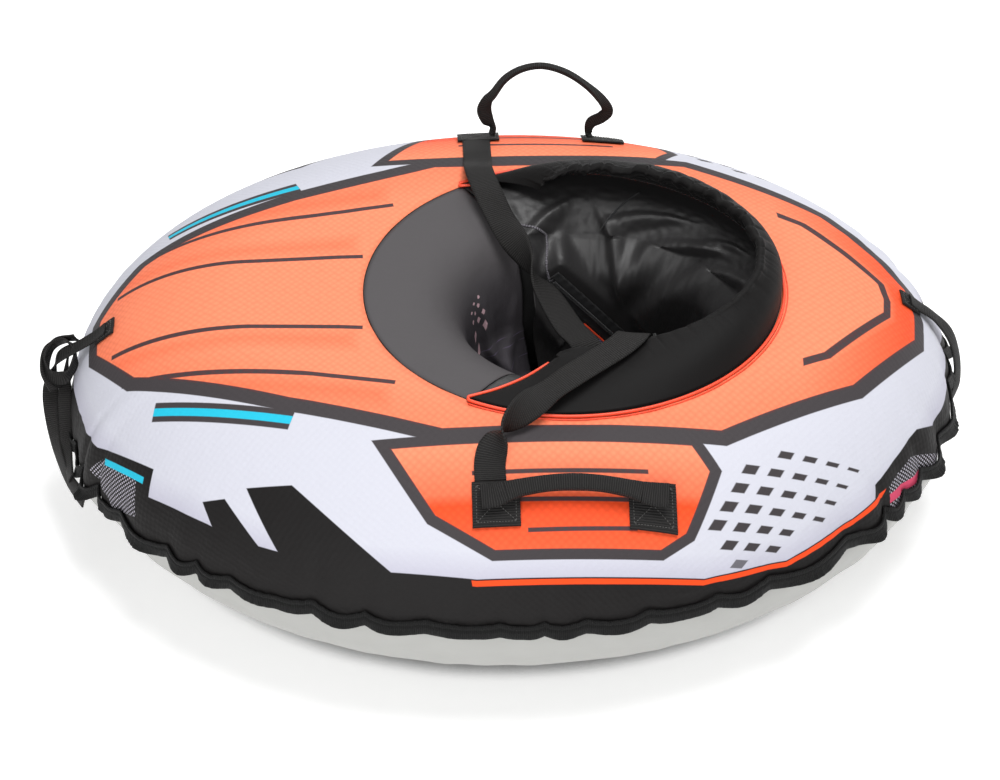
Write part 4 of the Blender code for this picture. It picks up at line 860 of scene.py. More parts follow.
# Folds of the seat bag and of the front skirt: start and end (angle round the hole, share of the
# way down), width and height.
SEAT_FOLDS = [
    ((0.15, 0.3), (1.05, 0.62), 0.09, 0.014), ((0.5, 0.28), (1.3, 0.5), 0.07, 0.012),
    ((-0.1, 0.5), (0.8, 0.86), 0.1, 0.016), ((0.85, 0.2), (1.45, 0.33), 0.06, 0.009),
    ((1.5, 0.3), (1.2, 0.55), 0.07, 0.011), ((1.75, 0.22), (2.3, 0.5), 0.08, 0.01),
    ((-0.6, 0.35), (0.2, 0.7), 0.1, 0.014), ((2.2, 0.6), (1.6, 0.9), 0.08, 0.012),
    ((-1.2, 0.3), (-0.5, 0.7), 0.09, 0.012), ((-1.9, 0.3), (-1.3, 0.75), 0.09, 0.012),
    ((0.35, 0.16), (0.65, 0.3), 0.05, 0.007), ((1.15, 0.66), (0.5, 0.94), 0.07, 0.01),
]
SKIRT_FOLDS = [
    ((2.75, 0.45), (2.4, 0.9), 0.1, 0.012), ((3.2, 0.5), (3.0, 0.95), 0.12, 0.014),
    ((3.6, 0.45), (3.75, 0.95), 0.1, 0.012), ((2.3, 0.5), (2.75, 0.85), 0.08, 0.009),
    ((4.0, 0.5), (4.2, 0.9), 0.08, 0.01),
]

LINER_LIMIT = DASH_THETA - 0.004
LINER_COLUMNS = 260
LINER_ROWS = 110
ZIP_WALL_Y = 0.0952
ZIP_ALONG = (ZIP_FOOT - ZIP_TOP).normalized()
ZIP_ACROSS = Vector((-ZIP_ALONG.z, 0, ZIP_ALONG.x))
ZIP_LENGTH = (ZIP_FOOT - ZIP_TOP).length


@cache
def seat_line(theta, drop):
    # One column of the seat's cloth: its angle round the body and round the hole, and its start.
    return theta, crest_polar(theta)[0], seam_turn(theta) + drop


def liner_line(u):
    return seat_line(round(LINER_LIMIT * (2 * u - 1), 9), 0.005)


def zip_share(point):
    # 1 on the flat patch of wall that the zip is sewn to, falling to 0 round it.
    along = (point - ZIP_TOP).dot(ZIP_ALONG)
    away = point - ZIP_TOP - ZIP_ALONG * along
    away.y = 0.0
    ends = step_up(along, -0.03, -0.008)
    ends *= 1 - step_up(along, ZIP_LENGTH + 0.008, ZIP_LENGTH + 0.03)
    left = 0.05 if along > 0.08 and away.x < 0 else 0.02
    return ends * (1 - step_up(away.length, left, left + 0.02)) if point.y > 0.02 else 0.0


def liner_place(u, v):
    theta, beta, start = liner_line(u)
    if v < 0.4:
        return skin_point(theta, start + (1.5 - start) * v / 0.4)
    share = (v - 0.4) / 0.6
    height = LINER_HANG + (LINER_FLOOR - LINER_HANG) * share
    point = wall_point(beta, height, LINER_HANG, 0.004 * math.sin(math.pi * share))
    if v < 0.5:
        hang = 1 - (v - 0.4) / 0.1
        point += (skin_point(theta, 1.5) - wall_point(beta, LINER_HANG, LINER_HANG, 0.0)) * hang ** 2
    return point


def liner_height(u, v, co):
    _, beta, _ = liner_line(u)
    edge = step_up(v, 0.0, 0.12) * (1 - step_up(v, 0.94, 1.0))
    return edge * folds(beta, v, SEAT_FOLDS) * (1 - zip_share(co))


def level_zip(piece):
    for vert in piece.data.vertices:
        vert.co.y += (ZIP_WALL_Y - vert.co.y) * step_up(zip_share(vert.co), 0.0, 0.9)


liner = grid_piece(
    "seat_bag", LINER_COLUMNS, LINER_ROWS, liner_place, height=liner_height,
    uv=lambda u, v: (u * 0.9, v * 0.34), aim=(HOLE_X, 0, 0.2),
)
level_zip(liner)
wall = liner.modifiers.new("wall", "SOLIDIFY")
wall.thickness = FABRIC
wall.offset = -1.0
dress(liner, LIT_SEAT_CLOTH, slot="seat_fabric", stands_for=["seat_liner"])


def liner_share(beta):
    return (theta_of_beta(beta) + LINER_LIMIT) / (2 * LINER_LIMIT)


def liner_spots():
    # The finished places of the bag's grid, for seams that lie on its folds.
    across = liner.data.attributes["across"].data
    along = liner.data.attributes["along"].data
    return {
        (round(across[i].value * LINER_COLUMNS), round(along[i].value * LINER_ROWS)): vert.co.copy()
        for i, vert in enumerate(liner.data.vertices)
    }


def seam_strip(name, spots, path, width, paint):
    # A narrow strip sewn along a path of (angle round the hole, share of the way down).
    path = [(liner_share(beta) * LINER_COLUMNS, share * LINER_ROWS) for beta, share in path]
    middles, normals = [], []
    for a, b in smooth_line(path, 60):
        i, j = min(int(a), LINER_COLUMNS - 1), min(int(b), LINER_ROWS - 1)
        corner, beside, below = spots[i, j], spots[i + 1, j], spots[i, j + 1]
        normal = (beside - corner).cross(below - corner).normalized()
        if normal.dot(Vector((HOLE_X, 0, 0.3)) - corner) < 0:
            normal.negate()
        middle = corner.lerp(beside, a - i).lerp(below.lerp(spots[i + 1, j + 1], a - i), b - j)
        middles.append(middle + normal * 0.0007)
        normals.append(normal)
    rows = []
    for k, (middle, normal) in enumerate(zip(middles, normals)):
        side = tangent_at(middles, k).cross(normal).normalized() * width / 2
        rows.append([middle - side, middle + normal * 0.0004, middle + side])
    made = grid_piece(
        name, 2, 60, lambda u, v: rows[round(v * 60)][round(u * 2)],
        uv=lambda u, v: (v * 0.12, u * width), aim=(HOLE_X, 0, 0.3), wall=0.0006,
    )
    dress(made, paint, slot="seat_fabric")


SPOTS = liner_spots()
seam_strip("seat_dart_seam", SPOTS, [(1.24, 0.06), (1.36, 0.22), (1.5, 0.38)], 0.0022, TAPE)
seam_strip(
    "seat_edge_stitching", SPOTS,
    [(2.16, 0.3), (1.98, 0.385), (1.97, 0.41), (2.03, 0.44), (2.04, 0.5), (1.96, 0.53)], 0.003, EDGING,
)


def floor_place(u, v):
    beta = TURN * (u % 1.0)
    place = round_hole(beta, (foot_radius(beta) - 0.001) * (1 - v), LINER_FLOOR + 0.001)
    place.z += (0.003 + 0.003 * wobble(place.x, place.y, 2.0, 0.04)) * step_up(v, 0.0, 0.2)
    return place


bottom = grid_piece("seat_bottom", 96, 24, floor_place, ring=True, aim=(HOLE_X, 0, 1), wall=FABRIC)
dress(merge(bottom), LIT_SEAT_CLOTH, slot="seat_fabric", stands_for=["seat_floor"])


def dash_line(u):
    first = DASH_THETA + 0.004
    return seat_line(round(first + (TURN - 2 * first) * u, 9), 0.003)


def dash_place(u, v):
    theta, beta, start = dash_line(u)
    if v <= 0.55:
        return skin_point(theta, start + (2 - start) * v / 0.55)
    share = (v - 0.55) / 0.45
    height = MIDDLE + (LINER_FLOOR - MIDDLE) * share
    point = wall_point(beta, height, MIDDLE, 0.0)
    slack = LINER_SLACK * (1 - min(1.0, 2 * share))
    return point + Vector((math.cos(beta), math.sin(beta), 0)) * slack


def dash_height(u, v, co):
    _, beta, _ = dash_line(u)
    skirt = step_up(v, 0.36, 0.75) * (1 - step_up(v, 0.96, 1.0))
    return skirt * folds(beta % TURN, v, SKIRT_FOLDS) + 0.0008 * wobble(co.x, co.y, 1.0, 0.05)


def dash_marks(u, v):
    # Small pale flecks in two drifts, and thin lines across the panel.
    point = dash_place(u, v)
    low = v * 0.3
    fleck = -1.0
    for i in range(26):
        side = 1 if i % 2 else -1
        x = 0.135 + 0.0065 * (i // 2 % 7) + 0.002 * math.sin(i * 2.4)
        y = side * (0.045 + 0.012 * (i // 14) + 0.004 * math.sin(i * 1.7))
        size = 0.0022 + 0.0009 * math.sin(i * 3.1)
        fleck = max(fleck, size - abs(low - x) - abs(point.y - y))
    curve = low - 0.9 * point.y * point.y
    strip = max(0.0008 - abs(curve - line) for line in (0.165, 0.176, 0.2))
    return {"fleck": fleck, "strip": strip}


dash = grid_piece(
    "front_panel", 150, 130, dash_place, height=dash_height, marks=dash_marks,
    uv=lambda u, v: (u * 0.5, v * 0.3), aim=(HOLE_X, 0, 3), wall=FABRIC,
)
dress(dash, DASH, slot="dash_print", stands_for=["dash_panel"])


# Collar and piping

def rim_sizes(alpha):
    side = math.sin(alpha) ** 2
    far = math.sin(alpha) > 0
    inset, rise = (RIM_INSET_FAR, RIM_RISE_FAR) if far else (RIM_INSET_NEAR, RIM_RISE_NEAR)
    return RIM_INSET_REAR + (inset - RIM_INSET_REAR) * side, RIM_RISE_REAR + (rise - RIM_RISE_REAR) * side


def seam_outward(alpha):
    along = seam_plan(alpha + 0.01) - seam_plan(alpha - 0.01)
    return Vector((along.y, -along.x)).normalized()


@cache
def collar_frame(share):
    # The collar at one place of its run: foot, rim, the ways up and out, and where its hem starts.
    alpha = share * DASH_ALPHA
    outward = seam_outward(alpha)
    foot_plan = seam_plan(alpha) - outward * SEAM_GAP
    foot = top_place(*foot_plan, COLLAR_LIFT)
    low = top_place(*(foot_plan - outward * 0.004), 0.0006)
    rim_alpha = share * (DASH_ALPHA - COLLAR_END_SLANT / SEAM_SIDE * abs(share) ** 3)
    inset, rise = rim_sizes(rim_alpha)
    rise *= 1 - (1 - RIM_END_RISE_SHARE) * abs(share) ** 6
    outward = seam_outward(rim_alpha)
    rim = Vector((*(seam_plan(rim_alpha) - outward * inset), BODY_HEIGHT + COLLAR_LIFT + rise))
    up = (rim - foot).normalized()
    return foot, rim, up, squared(outward.to_3d(), up), low


def gather(share):
    place = share * 9.0
    calm = 0.35 + 0.65 * step_up(share, -0.1, 0.3)
    wave = math.sin(16 * math.pi * share + 1.8 * wobble(place * 0.7, 3.0))
    pinch = 1 - min(1.0, 5 * abs(wobble(place * 2.2, 0.0, 7.0)))
    return (0.0015 * wave - 0.0034 * pinch ** 2) * calm


def collar_place(u, v):
    share = round(2 * u - 1, 9)
    foot, rim, up, out, low = collar_frame(share)
    wave = gather(share)
    full = 0.05 + 0.95 * step_up(1 - abs(share), 0.0, 0.2)
    if v < 0.03:
        return low.lerp(foot, v / 0.03)
    if v < 0.62:
        part = (v - 0.03) / 0.59
        bulge = COLLAR_BULGE * math.sin(math.pi * part)
        return foot.lerp(rim, part) + out * (bulge + wave * part ** 4)
    top = rim + out * wave
    turn = min(1.0, (v - 0.62) / 0.24)
    angle = math.pi * turn
    middle = top - out * CASING_DEPTH / 2 * full
    swell = 1 + 0.25 * math.sin(angle) * wobble(share * 30, 1.0)
    point = middle + (out * math.cos(angle) + up * math.sin(angle)) * CASING_DEPTH / 2 * swell * full
    if v > 0.86:
        point -= up * CASING_HEIGHT * full * (v - 0.86) / 0.14
    return point


def collar_height(u, v, co):
    ends = step_up(u, 0.0, 0.04) * (1 - step_up(u, 0.96, 1.0))
    band = step_up(v, 0.0, 0.1) * (1 - step_up(v, 0.55, 0.66))
    far = step_up(u, 0.5, 0.75)
    slow = wobble(co.x, co.y, co.z, 0.09) * 0.002
    rucks = math.sin(u * 150 + 2 * wobble(u, v, 0.0, 0.03)) * 0.0005 * far * step_up(v, 0.35, 0.62)
    return ends * (slow * band + rucks * (1 - step_up(v, 0.86, 0.95)))


collar = grid_piece(
    "collar_band", 620, 60, collar_place, height=collar_height,
    uv=lambda u, v: (u * 1.15, v * 0.14), wall=FABRIC, offset=0.0,
)
dress(collar, SHADED_COLLAR_CLOTH, slot="seat_fabric", stands_for=["seat_collar"])


def cord(name, points, radius, steps=10):
    ring = [(math.cos(TURN * i / steps), math.sin(TURN * i / steps)) for i in range(steps)]
    stations = []
    for i, point in enumerate(points):
        tangent = tangent_at(points, i)
        across = tangent.cross(Vector((0, 0, 1)))
        if across.length < 0.1:
            across = tangent.cross(Vector((0, 1, 0)))
        stations.append((point, across.normalized(), radius, radius))
    return sweep(name, stations, ring)


def end_edge_points(side, radius):
    # The cord's way from the seam round the collar's corner and up its free end.
    clear = radius + FABRIC + 0.0004
    foot, rim, _, out, _ = collar_frame(side)
    foot_in, rim_in, *_ = collar_frame(side * 0.99)
    edge = (rim - foot).normalized()
    points = []
    for part in (0.0, 0.08, 0.3, 0.6, 0.92) if side < 0 else (0.0, 0.08, 0.16, 0.26, 0.38):
        place = foot.lerp(rim, part)
        away = squared(place - foot_in.lerp(rim_in, part), edge)
        points.append(place + out * COLLAR_BULGE * math.sin(math.pi * part) + away * clear)
    outward = seam_outward(side * DASH_ALPHA)
    along = Vector((-outward.y, outward.x)) * side
    away = (points[0] - foot).xy.normalized()
    tip = (along - edge.xy.normalized()).normalized()
    corner = [
        top_place(*(foot.xy + direction.normalized() * clear), radius + 0.0009)
        for direction in (outward + tip, tip, tip + away)
    ]
    return [Vector(row) for row in smooth_line(corner + points, 40)]


def seam_line(away, radius):
    points = []
    for i in range(241):
        alpha = (i / 120 - 1) * DASH_ALPHA
        points.append(top_place(*(seam_plan(alpha) + seam_outward(alpha) * away), radius + 0.0007))
    return points


near_end, far_end = (end_edge_points(side, PIPING_RADIUS) for side in (-1, 1))
piping = cord(
    "piping_cord", near_end[::-1] + seam_line(0.0026, PIPING_RADIUS) + far_end, PIPING_RADIUS,
)
dress(piping, PIPE, slot="piping", stands_for=["collar_piping"])
dress(cord("piping_line", seam_line(0.0066, 0.0006), 0.0007, 6), PIPE, slot="piping")


# Webbing

def ribbon(name, rows):
    # rows: one list of points across the strap for each step along it.
    lanes, steps = len(rows[0]) - 1, len(rows) - 1
    lengths = run_lengths([row[lanes // 2] for row in rows])
    width = (rows[0][-1] - rows[0][0]).length
    return grid_piece(
        name, lanes, steps, lambda u, v: rows[round(v * steps)][round(u * lanes)],
        uv=lambda u, v: (lengths[round(v * steps)], u * width), wall=WEBBING, offset=0.0,
    )


def scaled(shares):
    x, y, z = shares
    return Vector((x * BODY_LENGTH, y * BODY_WIDTH, z * BODY_HEIGHT))


def route(path, roots=(), side=()):
    # Stations of a strap. Its roots all have side as the direction across; the rest of its path is
    # in shares of the body's box, each place with its own direction across.
    return [(*place, *side) for place in roots] + [(*scaled(place), *across) for place, across in path]


def strap(name, body, stations, width, count, lanes=8, cup=0.0006, **dressing):
    # cup lifts the middle of the strap.
    stations = smooth_line(stations, count)
    middles = [Vector(station[:3]) for station in stations]
    rows = []
    for i, station in enumerate(stations):
        tangent = tangent_at(middles, i)
        across = squared(Vector(station[3:6]), tangent)
        lift = tangent.cross(across) * cup
        rows.append([
            middles[i] + across * width * (k / lanes - 0.5) + lift * (1 - (2 * k / lanes - 1) ** 2)
            for k in range(lanes + 1)
        ])
    dress(ribbon(name, rows), WEB, body, **dressing)


def belt_loop(name, end, direction, across, body):
    # The sewn loop round the buckle's bar, with its tail laid back along the belt.
    direction = direction.normalized()
    across = squared(across, direction)
    normal = direction.cross(across)
    inner = BAR_THICKNESS / 2 + LOOP_ROOM + WEBBING / 2
    rows = []
    for i in range(25):
        angle = -QUARTER * 1.7 + TURN * 0.85 * i / 24
        middle = end + direction * inner * (1 + math.cos(angle)) + normal * inner * math.sin(angle)
        rows.append([middle + across * BELT_WIDTH * (k / 8 - 0.5) for k in range(9)])
    dress(ribbon(name, rows), WEB, body)


LAID = LAID_GAP + WEBBING / 2
NEAR_ROOT_X = BELT_X - WEBBING
BELT_SIDE = (1, 0, 0)
FAR_BELT = [
    ((-0.03, 0.2475, 1.061), BELT_SIDE), ((-0.022, 0.2, 1.061), (1, 0.1, 0)),
    ((-0.005, 0.15, 1.0), (0.9, 0.3, 0)), ((0.018, 0.1025, 0.936), (0.2, 0.3, 0.9)),
    ((0.044, 0.0375, 0.875), (-0.9, -0.3, 0.3)), ((0.064, -0.0325, 0.871), (-0.95, -0.3, 0)),
    ((0.079, -0.075, 0.889), (-0.97, -0.2, 0)), ((0.0865, -0.0931, 0.843), (-1, 0, 0)),
    ((0.0885, -0.0965, 0.782), (-1, 0, 0)), ((0.089, -0.0975, 0.721), (-1, 0, 0)),
]
# The near half goes off its patch, twists over on the flank, then crosses the collar.
NEAR_BELT = [
    ((-0.0265, -0.3255, 1.02), (0.85, -0.1, 0.5)), ((-0.014, -0.307, 1.067), (0.1, 0, 1)),
    ((0.006, -0.2825, 1.076), (-0.4, 0.5, 0.75)), ((0.031, -0.25, 1.073), (-0.6, 0.8, 0)),
    ((0.059, -0.2238, 1.091), (-0.6, 0.8, 0)), ((0.087, -0.1975, 1.1), (-0.6, 0.8, 0)),
    ((0.11, -0.176, 1.109), (-0.65, 0.75, 0)), ((0.124, -0.1575, 1.111), (-0.85, 0.5, 0)),
    ((0.1305, -0.1425, 1.09), (-1, 0.2, -0.1)), ((0.1315, -0.133, 1.045), (-1, 0.1, -0.3)),
    ((0.1335, -0.1265, 1.004), (-0.87, 0.05, -0.5)),
]
far_roots = [
    top_place(BELT_X, y, lift)
    for y, lift in ((BELT_ANCHOR_Y, LAID), (0.262, LAID), (0.232, LAID + WEBBING))
]
near_roots = [
    top_place(NEAR_ROOT_X, -BELT_ANCHOR_Y, LAID), top_place(NEAR_ROOT_X, -NEAR_LIE_Y, LAID + WEBBING / 2),
]
near_path = [(place, Vector(across).normalized()) for place, across in NEAR_BELT]
strap("lap_belt_far", "belt_far", route(FAR_BELT, far_roots, BELT_SIDE), BELT_WIDTH, 220,
      stands_for=["belt_far"])
belt_loop("lap_belt_far_loop", scaled(FAR_BELT[-1][0]), Vector((0, 0, -1)), Vector(BELT_SIDE), "belt_far")
strap("lap_belt_near", "belt_near", route(near_path, near_roots, BELT_SIDE), BELT_WIDTH, 220,
      stands_for=["belt_near"])
belt_loop("lap_belt_near_loop", scaled(near_path[-1][0]), Vector((0.45, 0.33, -0.83)), near_path[-1][1],
          "belt_near")


# Handles and patches

# Height of the threads' middles over the skin, and the length of one stitch
THREAD_LIFT = LAID_GAP + WEBBING + 0.0007
STITCH = 0.0031


def bead(bm, place, x_axis, y_axis, z_axis, around, rows):
    made = bmesh.ops.create_uvsphere(bm, u_segments=around, v_segments=rows, radius=1.0)
    for vert in made["verts"]:
        x, y, z = vert.co
        vert.co = place + x_axis * x + y_axis * y + z_axis * z


def stitch_row(bm, start, end):
    # Short threads in a line over the webbing, from one plan point to another.
    run = end - start
    count = max(1, round(run.length / STITCH))
    for i in range(count):
        middle = start + run * (i + 0.5) / count
        place, normal = on_top(*middle, THREAD_LIFT)
        ahead = top_place(*(middle + run.normalized() * 0.001), THREAD_LIFT)
        along = (ahead - place).normalized()
        bead(bm, place, normal.cross(along) * 0.00042, normal * 0.00038, along * STITCH * 0.4, 6, 4)


def patch(name, x, y, length, width, inset):
    # A sewn square of webbing. Its cut ends are folded under, so its rims are thick.
    def place(u, v):
        rim = min(u, 1 - u, v, 1 - v)
        swell = 0.0006 * (1 - step_up(rim, 0.0, 0.12)) + 0.0005 * wobble(u * 3, v * 3, x, 0.8)
        return top_place(x + length * (u - 0.5), y + width * (v - 0.5), LAID_GAP + swell)

    cloth = grid_piece(
        f"{name}_cloth", 26, 26, place,
        uv=lambda u, v: (v * width, u * length), aim=(x, y, 3), wall=WEBBING, offset=1.0,
    )
    dress(cloth, WEB, stands_for=[name])
    bm = bmesh.new()
    a, b = length / 2 - inset, width / 2 - inset
    corners = [Vector((x + i * a, y + j * b)) for i, j in ((-1, -1), (1, -1), (1, 1), (-1, 1))]
    for start, end in (*zip(corners, corners[1:] + corners[:1]), *zip(corners[:2], corners[2:])):
        stitch_row(bm, start, end)
    dress(finish_piece(f"{name}_thread", bm), THREAD_PAINTED_HIGHLIGHT)


def fold_section():
    # A band folded once lengthwise: a closed outline with a slit along one side.
    gap, depth = 0.07, 0.8
    upper = [(1.0, gap)]
    for i in range(6):
        upper.append((1 - 0.38 * i, gap + (1 - gap) * math.sqrt(1 - (0.18 * i) ** 6)))
    upper.append((-1.0, 0.5))
    return upper + [(x, -y) for x, y in reversed(upper)] + [(-depth, -gap / 2), (-depth, gap / 2)]


FOLDED = fold_section()


def grip_ends(side):
    middle, span = HANDLE_RUNS[side]
    reach = span / 2 - GRIP_FOOT_INSET
    lift = 2 * LAID_GAP + WEBBING + GRIP_FOOT_RADIUS
    return [top_place(middle + end * reach, side * HANDLE_Y, lift) for end in (-1, 1)]


def grip(name, side, rise, table, body, stands_for=()):
    # Table rows: share of the span, share of the rise, direction across, half width, half thickness.
    left, right = grip_ends(side)
    controls = [
        (*(left + (right - left) * a + rise * b), *Vector(across).normalized(), wide, thick)
        for a, b, across, wide, thick in table
    ]
    stations = [
        (Vector(row[:3]), Vector(row[3:6]), *row[6:])
        for row in smooth_line(controls, 10 * (len(controls) - 1))
    ]
    dress(sweep(name, stations, FOLDED), WEB, body, stands_for=stands_for)


def handles():
    for side, word in ((1, "far"), (-1, "near")):
        middle, span = HANDLE_RUNS[side]
        for end, place in (("front", -1), ("rear", 1)):
            patch(
                f"{word}_handle_{end}_patch", middle + place * span / 2, side * HANDLE_Y,
                PATCH_LENGTH, PATCH_WIDTH, 0.0045,
            )
    # Half widths and half thicknesses of the far grip where they come more than once
    wide, bulge, top = 0.0085, 0.0088, 0.0047
    flat, thick = 0.0016, 0.0024
    side_on, face_on = (0.25, -1, 0), (1, 0.15, 0)
    far_table = [
        (0.03, -0.04, side_on, 0.005, thick), (0.045, 0.06, (1, -0.9, 0), 0.0045, flat),
        (-0.005, 0.17, face_on, wide * 0.9, flat), (-0.035, 0.32, face_on, bulge, flat),
        (-0.005, 0.46, (1, -0.2, -0.2), 0.0066, thick), (0.05, 0.56, (0.6, -0.9, -0.3), 0.0052, thick),
        (0.16, 0.78, (0.4, -1, -0.2), top, thick), (0.32, 0.93, (0.2, -1, 0), top, thick),
        (0.52, 0.98, (0, -1, 0), top, thick), (0.74, 0.89, (-0.2, -1, 0), top, thick),
        (0.94, 0.7, (-0.4, -1, 0), top, thick), (1.08, 0.5, (-0.9, -0.5, 0), 0.0056, thick),
        (1.135, 0.34, (-1, 0.1, 0.2), bulge * 0.8, flat), (1.08, 0.24, (-0.5, 0.2, 0.9), wide * 0.85, flat),
        (0.985, 0.16, (-0.8, 0.2, 0.5), wide * 0.8, flat), (0.96, 0.04, (-1, 0.3, 0), 0.0045, flat),
        (0.98, -0.04, side_on, 0.005, thick),
    ]
    grip("far_grip", 1, Vector((0, 0, FAR_GRIP_HEIGHT)), far_table, "far_handle", ["far_handle"])
    left, _ = grip_ends(-1)
    _, normal = on_top(left.x, left.y)
    uphill = Vector((0, normal.z, -normal.y)).normalized()
    rise = (uphill * 0.8 + normal * 0.55).normalized() * NEAR_GRIP_BOW
    near_shares = [
        (-0.2, 0.2, 0.0135, 0.0009), (-0.1, 0.28, 0.013, 0.0012), (-0.01, 0.5, 0.0112, 0.0022),
        (0.1, 0.74, 0.0092, 0.0034), (0.3, 1.0, 0.0085, 0.0036), (0.5, 1.1, 0.0088, 0.0036),
        (0.7, 1.04, 0.0085, 0.0036), (0.89, 0.82, 0.0092, 0.0034), (1.0, 0.62, 0.0112, 0.0022),
        (1.09, 0.5, 0.013, 0.0012), (1.2, 0.44, 0.0135, 0.0009),
    ]
    near_table = [(a, b, -uphill, wide, thick) for a, b, wide, thick in near_shares]
    # The grip swings; its two sewn ends are pieces of their own that stay on the patches.
    grip("near_grip", -1, rise, near_table[2:9], "near_handle", ["near_handle"])
    grip("near_grip_front_end", -1, rise, near_table[:3], "body")
    grip("near_grip_rear_end", -1, rise, near_table[8:], "body")


handles()


# Tow strap and rear strap

HANGING_SIDE = (0, 1, 0)


def hanging_strap(name, word, end, y, path, count):
    # From its sewn root over the body's end.
    root = end * (TAG_X + TAG_LENGTH / 2)
    places = [
        top_place(root - end * back, y, 2 * LAID_GAP + 1.5 * WEBBING) for back in (0.012, 0.0, 0.003)
    ]
    strap(name, f"{word}_strap", route(path, places[:2], HANGING_SIDE), STRAP_WIDTH * 0.7, count, 6, 0.0008,
          stands_for=[f"{word}_strap"], bend=(places[2], scaled(path[0][0])))


TOW_OUTER = [
    ((-0.488, -0.0025, 0.75), HANGING_SIDE), ((-0.512, -0.005, 0.696), (0.2, 0.9, 0.3)),
    ((-0.522, -0.0125, 0.607), (0.5, 0.7, 0.4)), ((-0.524, -0.0275, 0.514), (0.7, 0.3, 0.6)),
    ((-0.521, -0.056, 0.429), (0.6, 0.1, 0.8)), ((-0.513, -0.094, 0.386), (0.3, 0.1, 0.9)),
    ((-0.4995, -0.1375, 0.371), (0.2, 0.2, 0.9)), ((-0.48, -0.1825, 0.379), (0.2, 0.4, 0.8)),
]
TOW_INNER = [
    ((-0.5, 0.001, 0.72), (0, 1, 0.2)), ((-0.504, -0.01, 0.65), (0.2, 1, 0.1)),
    ((-0.507, -0.03, 0.55), (0.7, 0.5, 0.3)), ((-0.506, -0.062, 0.47), (0.9, 0.2, 0.4)),
    ((-0.503, -0.1, 0.425), (0.6, 0.2, 0.8)), ((-0.497, -0.145, 0.4), (0.3, 0.2, 0.9)),
]
TOW_KNOT = [
    ((-0.492, 0.022, 0.735), (0.7, 0.2, -0.6)), ((-0.515, 0.026, 0.71), (0.3, 0.5, -0.8)),
    ((-0.529, 0.0, 0.68), (-0.1, 0.4, -0.9)), ((-0.522, -0.026, 0.655), (-0.5, 0.3, -0.7)),
    ((-0.502, -0.032, 0.66), (-0.5, -0.3, -0.7)), ((-0.492, -0.008, 0.7), (0.1, -0.4, -0.9)),
    ((-0.503, 0.02, 0.725), (0.5, 0.3, -0.7)), ((-0.524, 0.018, 0.69), (0.5, 0.5, -0.5)),
    ((-0.528, -0.012, 0.645), (0.3, 0.7, -0.3)), ((-0.515, -0.035, 0.6), (0.3, 0.7, 0.1)),
]
REAR_BAND = [
    ((0.486, 0.0213, 0.746), HANGING_SIDE), ((0.506, 0.015, 0.661), (0.2, 0.9, 0.3)),
    ((0.5165, 0.0075, 0.543), (0.4, 0.9, 0.2)), ((0.518, 0.0, 0.429), (0.6, 0.8, 0)),
    ((0.5135, -0.0038, 0.357), (0.6, 0.8, 0)),
]
hanging_strap("tow_strap_outer", "tow", -1, 0.0, TOW_OUTER, 150)
strap("tow_strap_inner", "tow_strap", route(TOW_INNER), STRAP_WIDTH * 0.6, 90, 6, 0.0008)
strap("tow_strap_knot", "tow_strap", route(TOW_KNOT), STRAP_WIDTH * 0.62, 120, 6, 0.0012)
hanging_strap("rear_strap_band", "rear", 1, REAR_STRAP_Y, REAR_BAND, 80)
patch("tow_strap_patch", -TAG_X, 0.0, TAG_LENGTH, STRAP_WIDTH, 0.003)
patch("rear_strap_patch", TAG_X, REAR_STRAP_Y, TAG_LENGTH, STRAP_WIDTH, 0.003)


# Zip on the far wall

def zip_point(along, across, out):
    return ZIP_TOP + ZIP_ALONG * along + ZIP_ACROSS * across - Vector((0, out, 0))


for side, word in ((-1, "lower"), (1, "upper")):
    def tape_place(u, v, side=side):
        ruck = 0.0004 * math.sin(v * 90 + side) * u
        along = (ZIP_LENGTH + 0.008) * v - 0.004
        return zip_point(along, side * (0.0009 + ZIP_TAPE_WIDTH * u), ruck - 0.0002)

    tape = grid_piece(
        f"zip_tape_{word}_cloth", 6, 110, tape_place,
        uv=lambda u, v: (v * ZIP_LENGTH, u * ZIP_TAPE_WIDTH), aim=(0.1, -1, 0.1), wall=0.0006,
    )
    dress(tape, TAPE, stands_for=[f"zip_tape_{word}"])
    bm = bmesh.new()
    for i in range(2, int(ZIP_LENGTH / ZIP_PITCH) - 1):
        middle = zip_point((i + side * 0.25) * ZIP_PITCH, side * 0.0011, 0.0013)
        bead(bm, middle, ZIP_ACROSS * 0.0016, Vector((0, 0.0011, 0)), ZIP_ALONG * 0.00062, 8, 6)
    dress(finish_piece(f"zip_coil_{word}_teeth", bm), NYLON, stands_for=[f"zip_coil_{word}"])


# The part's own solids that show as they are
CAD_PAINT = {
    "inner_tube": RUBBER, "valve_stem": RUBBER, "valve_cap": BLACK_PLASTIC, "valve_pin": BRASS,
    "collar_elastic": TAPE, "buckle_plug": BLACK_PLASTIC, "buckle_prong_front": BLACK_PLASTIC,
    "buckle_prong_rear": BLACK_PLASTIC, "buckle_socket": BLACK_PLASTIC, "zip_slider": GREY_METAL,
    "zip_pull": GREY_METAL, "zip_stop_top": GREY_METAL, "zip_stop_foot": GREY_METAL,
    "zip_piping": PIPE, "zip_facing": FACING,
}
for name, paint in CAD_PAINT.items():
    for holder in CAD[name].material_slots:
        holder.material = paint


# Camera, lamps and stage

scene = bpy.context.scene


def aim_at(item, place, target):
    item.location = place
    item.rotation_euler = (Vector(target) - Vector(place)).to_track_quat("-Z", "Y").to_euler()


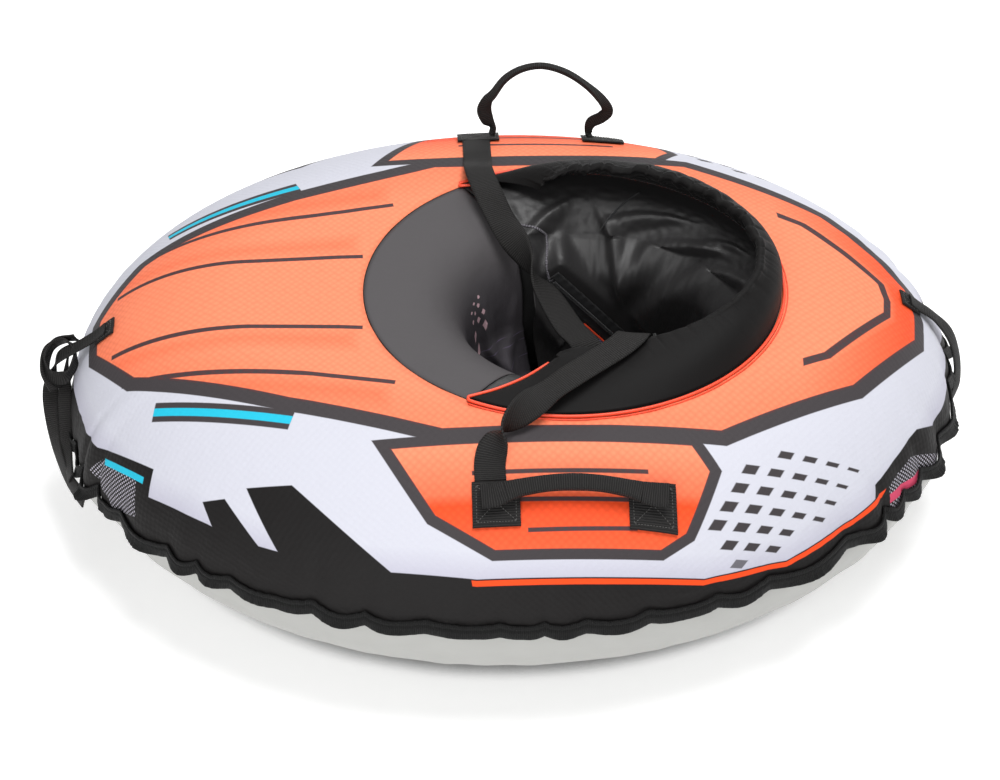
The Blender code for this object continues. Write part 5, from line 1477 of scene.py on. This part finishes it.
# Name, place, target, breadth and watts of each lamp
LAMPS = [
    ("key", (0.4, -0.1, 3.0), (0, 0, 0.1), 1.7, 74), ("fill", (-0.9, -2.8, 1.4), (0, 0, 0.15), 2.4, 54),
    ("back", (0.3, 2.4, 1.8), (0, 0, 0.2), 2.2, 22), ("side", (2.6, 0.9, 0.7), (0.1, 0, 0.2), 1.2, 12),
]
for name, place, target, size, watts in LAMPS:
    light = bpy.data.lights.new(name, "AREA")
    light.shape = "DISK"
    light.size = size
    light.energy = watts
    item = bpy.data.objects.new(name, light)
    scene.collection.objects.link(item)
    aim_at(item, place, target)

lens = bpy.data.cameras.new("camera")
lens.lens = 100.08
lens.sensor_width = 36.0
lens.shift_x = -0.0102
lens.shift_y = -0.0086
camera = bpy.data.objects.new("camera", lens)
scene.collection.objects.link(camera)
CAMERA_DISTANCE = 3.2
CAMERA_RISE = math.radians(41.5)
CAMERA_YAW = math.radians(-2.35)
CAMERA_ROLL = math.radians(0.25)
target = Vector((0, 0, 0.14))
plan = Vector((math.sin(CAMERA_YAW), -math.cos(CAMERA_YAW))) * math.cos(CAMERA_RISE)
aim_at(camera, target + Vector((*plan, math.sin(CAMERA_RISE))) * CAMERA_DISTANCE, target)
camera.rotation_euler.rotate_axis("Z", CAMERA_ROLL)
scene.camera = camera

# The sky is white to the eye and dimmer as a light
world = bpy.data.worlds.new("studio")
world.use_nodes = True
scene.world = world
tree = world.node_tree
back = tree.nodes["Background"]
back.inputs["Color"].default_value = (1, 1, 1, 1)
path = tree.nodes.new("ShaderNodeLightPath")
seen = tree.nodes.new("ShaderNodeMath")
seen.operation = "MAXIMUM"
tree.links.new(path.outputs["Is Camera Ray"], seen.inputs[0])
tree.links.new(path.outputs["Is Transmission Ray"], seen.inputs[1])
strength = tree.nodes.new("ShaderNodeMapRange")
strength.inputs["To Min"].default_value = 0.27
strength.inputs["To Max"].default_value = 1.0
tree.links.new(seen.outputs[0], strength.inputs["Value"])
tree.links.new(strength.outputs[0], back.inputs["Strength"])

bm = bmesh.new()
bmesh.ops.create_grid(bm, x_segments=1, y_segments=1, size=15.0)
floor = finish_piece("floor", bm)
# The floor's colour and glow are painted darker close under the body, where little open sky reaches it: a
# painted contact shadow.
floor_paint = Paint("floor_white_painted_contact_shadow", roughness=0.9, Specular_IOR_Level=0.0, Emission_Strength=0.36)
open_sky = floor_paint.node("AmbientOcclusion", {"Distance": 0.036}).outputs["AO"]
lit = floor_paint.ramp(open_sky, 0.28, 0.6)
glow = floor_paint.mix(lit, (0, 0, 0, 1), (1, 1, 1, 1))
floor_paint.feed(floor_paint.shader.inputs["Emission Color"], glow)
painted_light_colour = floor_paint.mix(lit, (0.3, 0.3, 0.3, 1), (0.93, 0.93, 0.93, 1))
floor.data.materials.append(floor_paint.finish(painted_light_colour))

scene.view_settings.view_transform = "Standard"
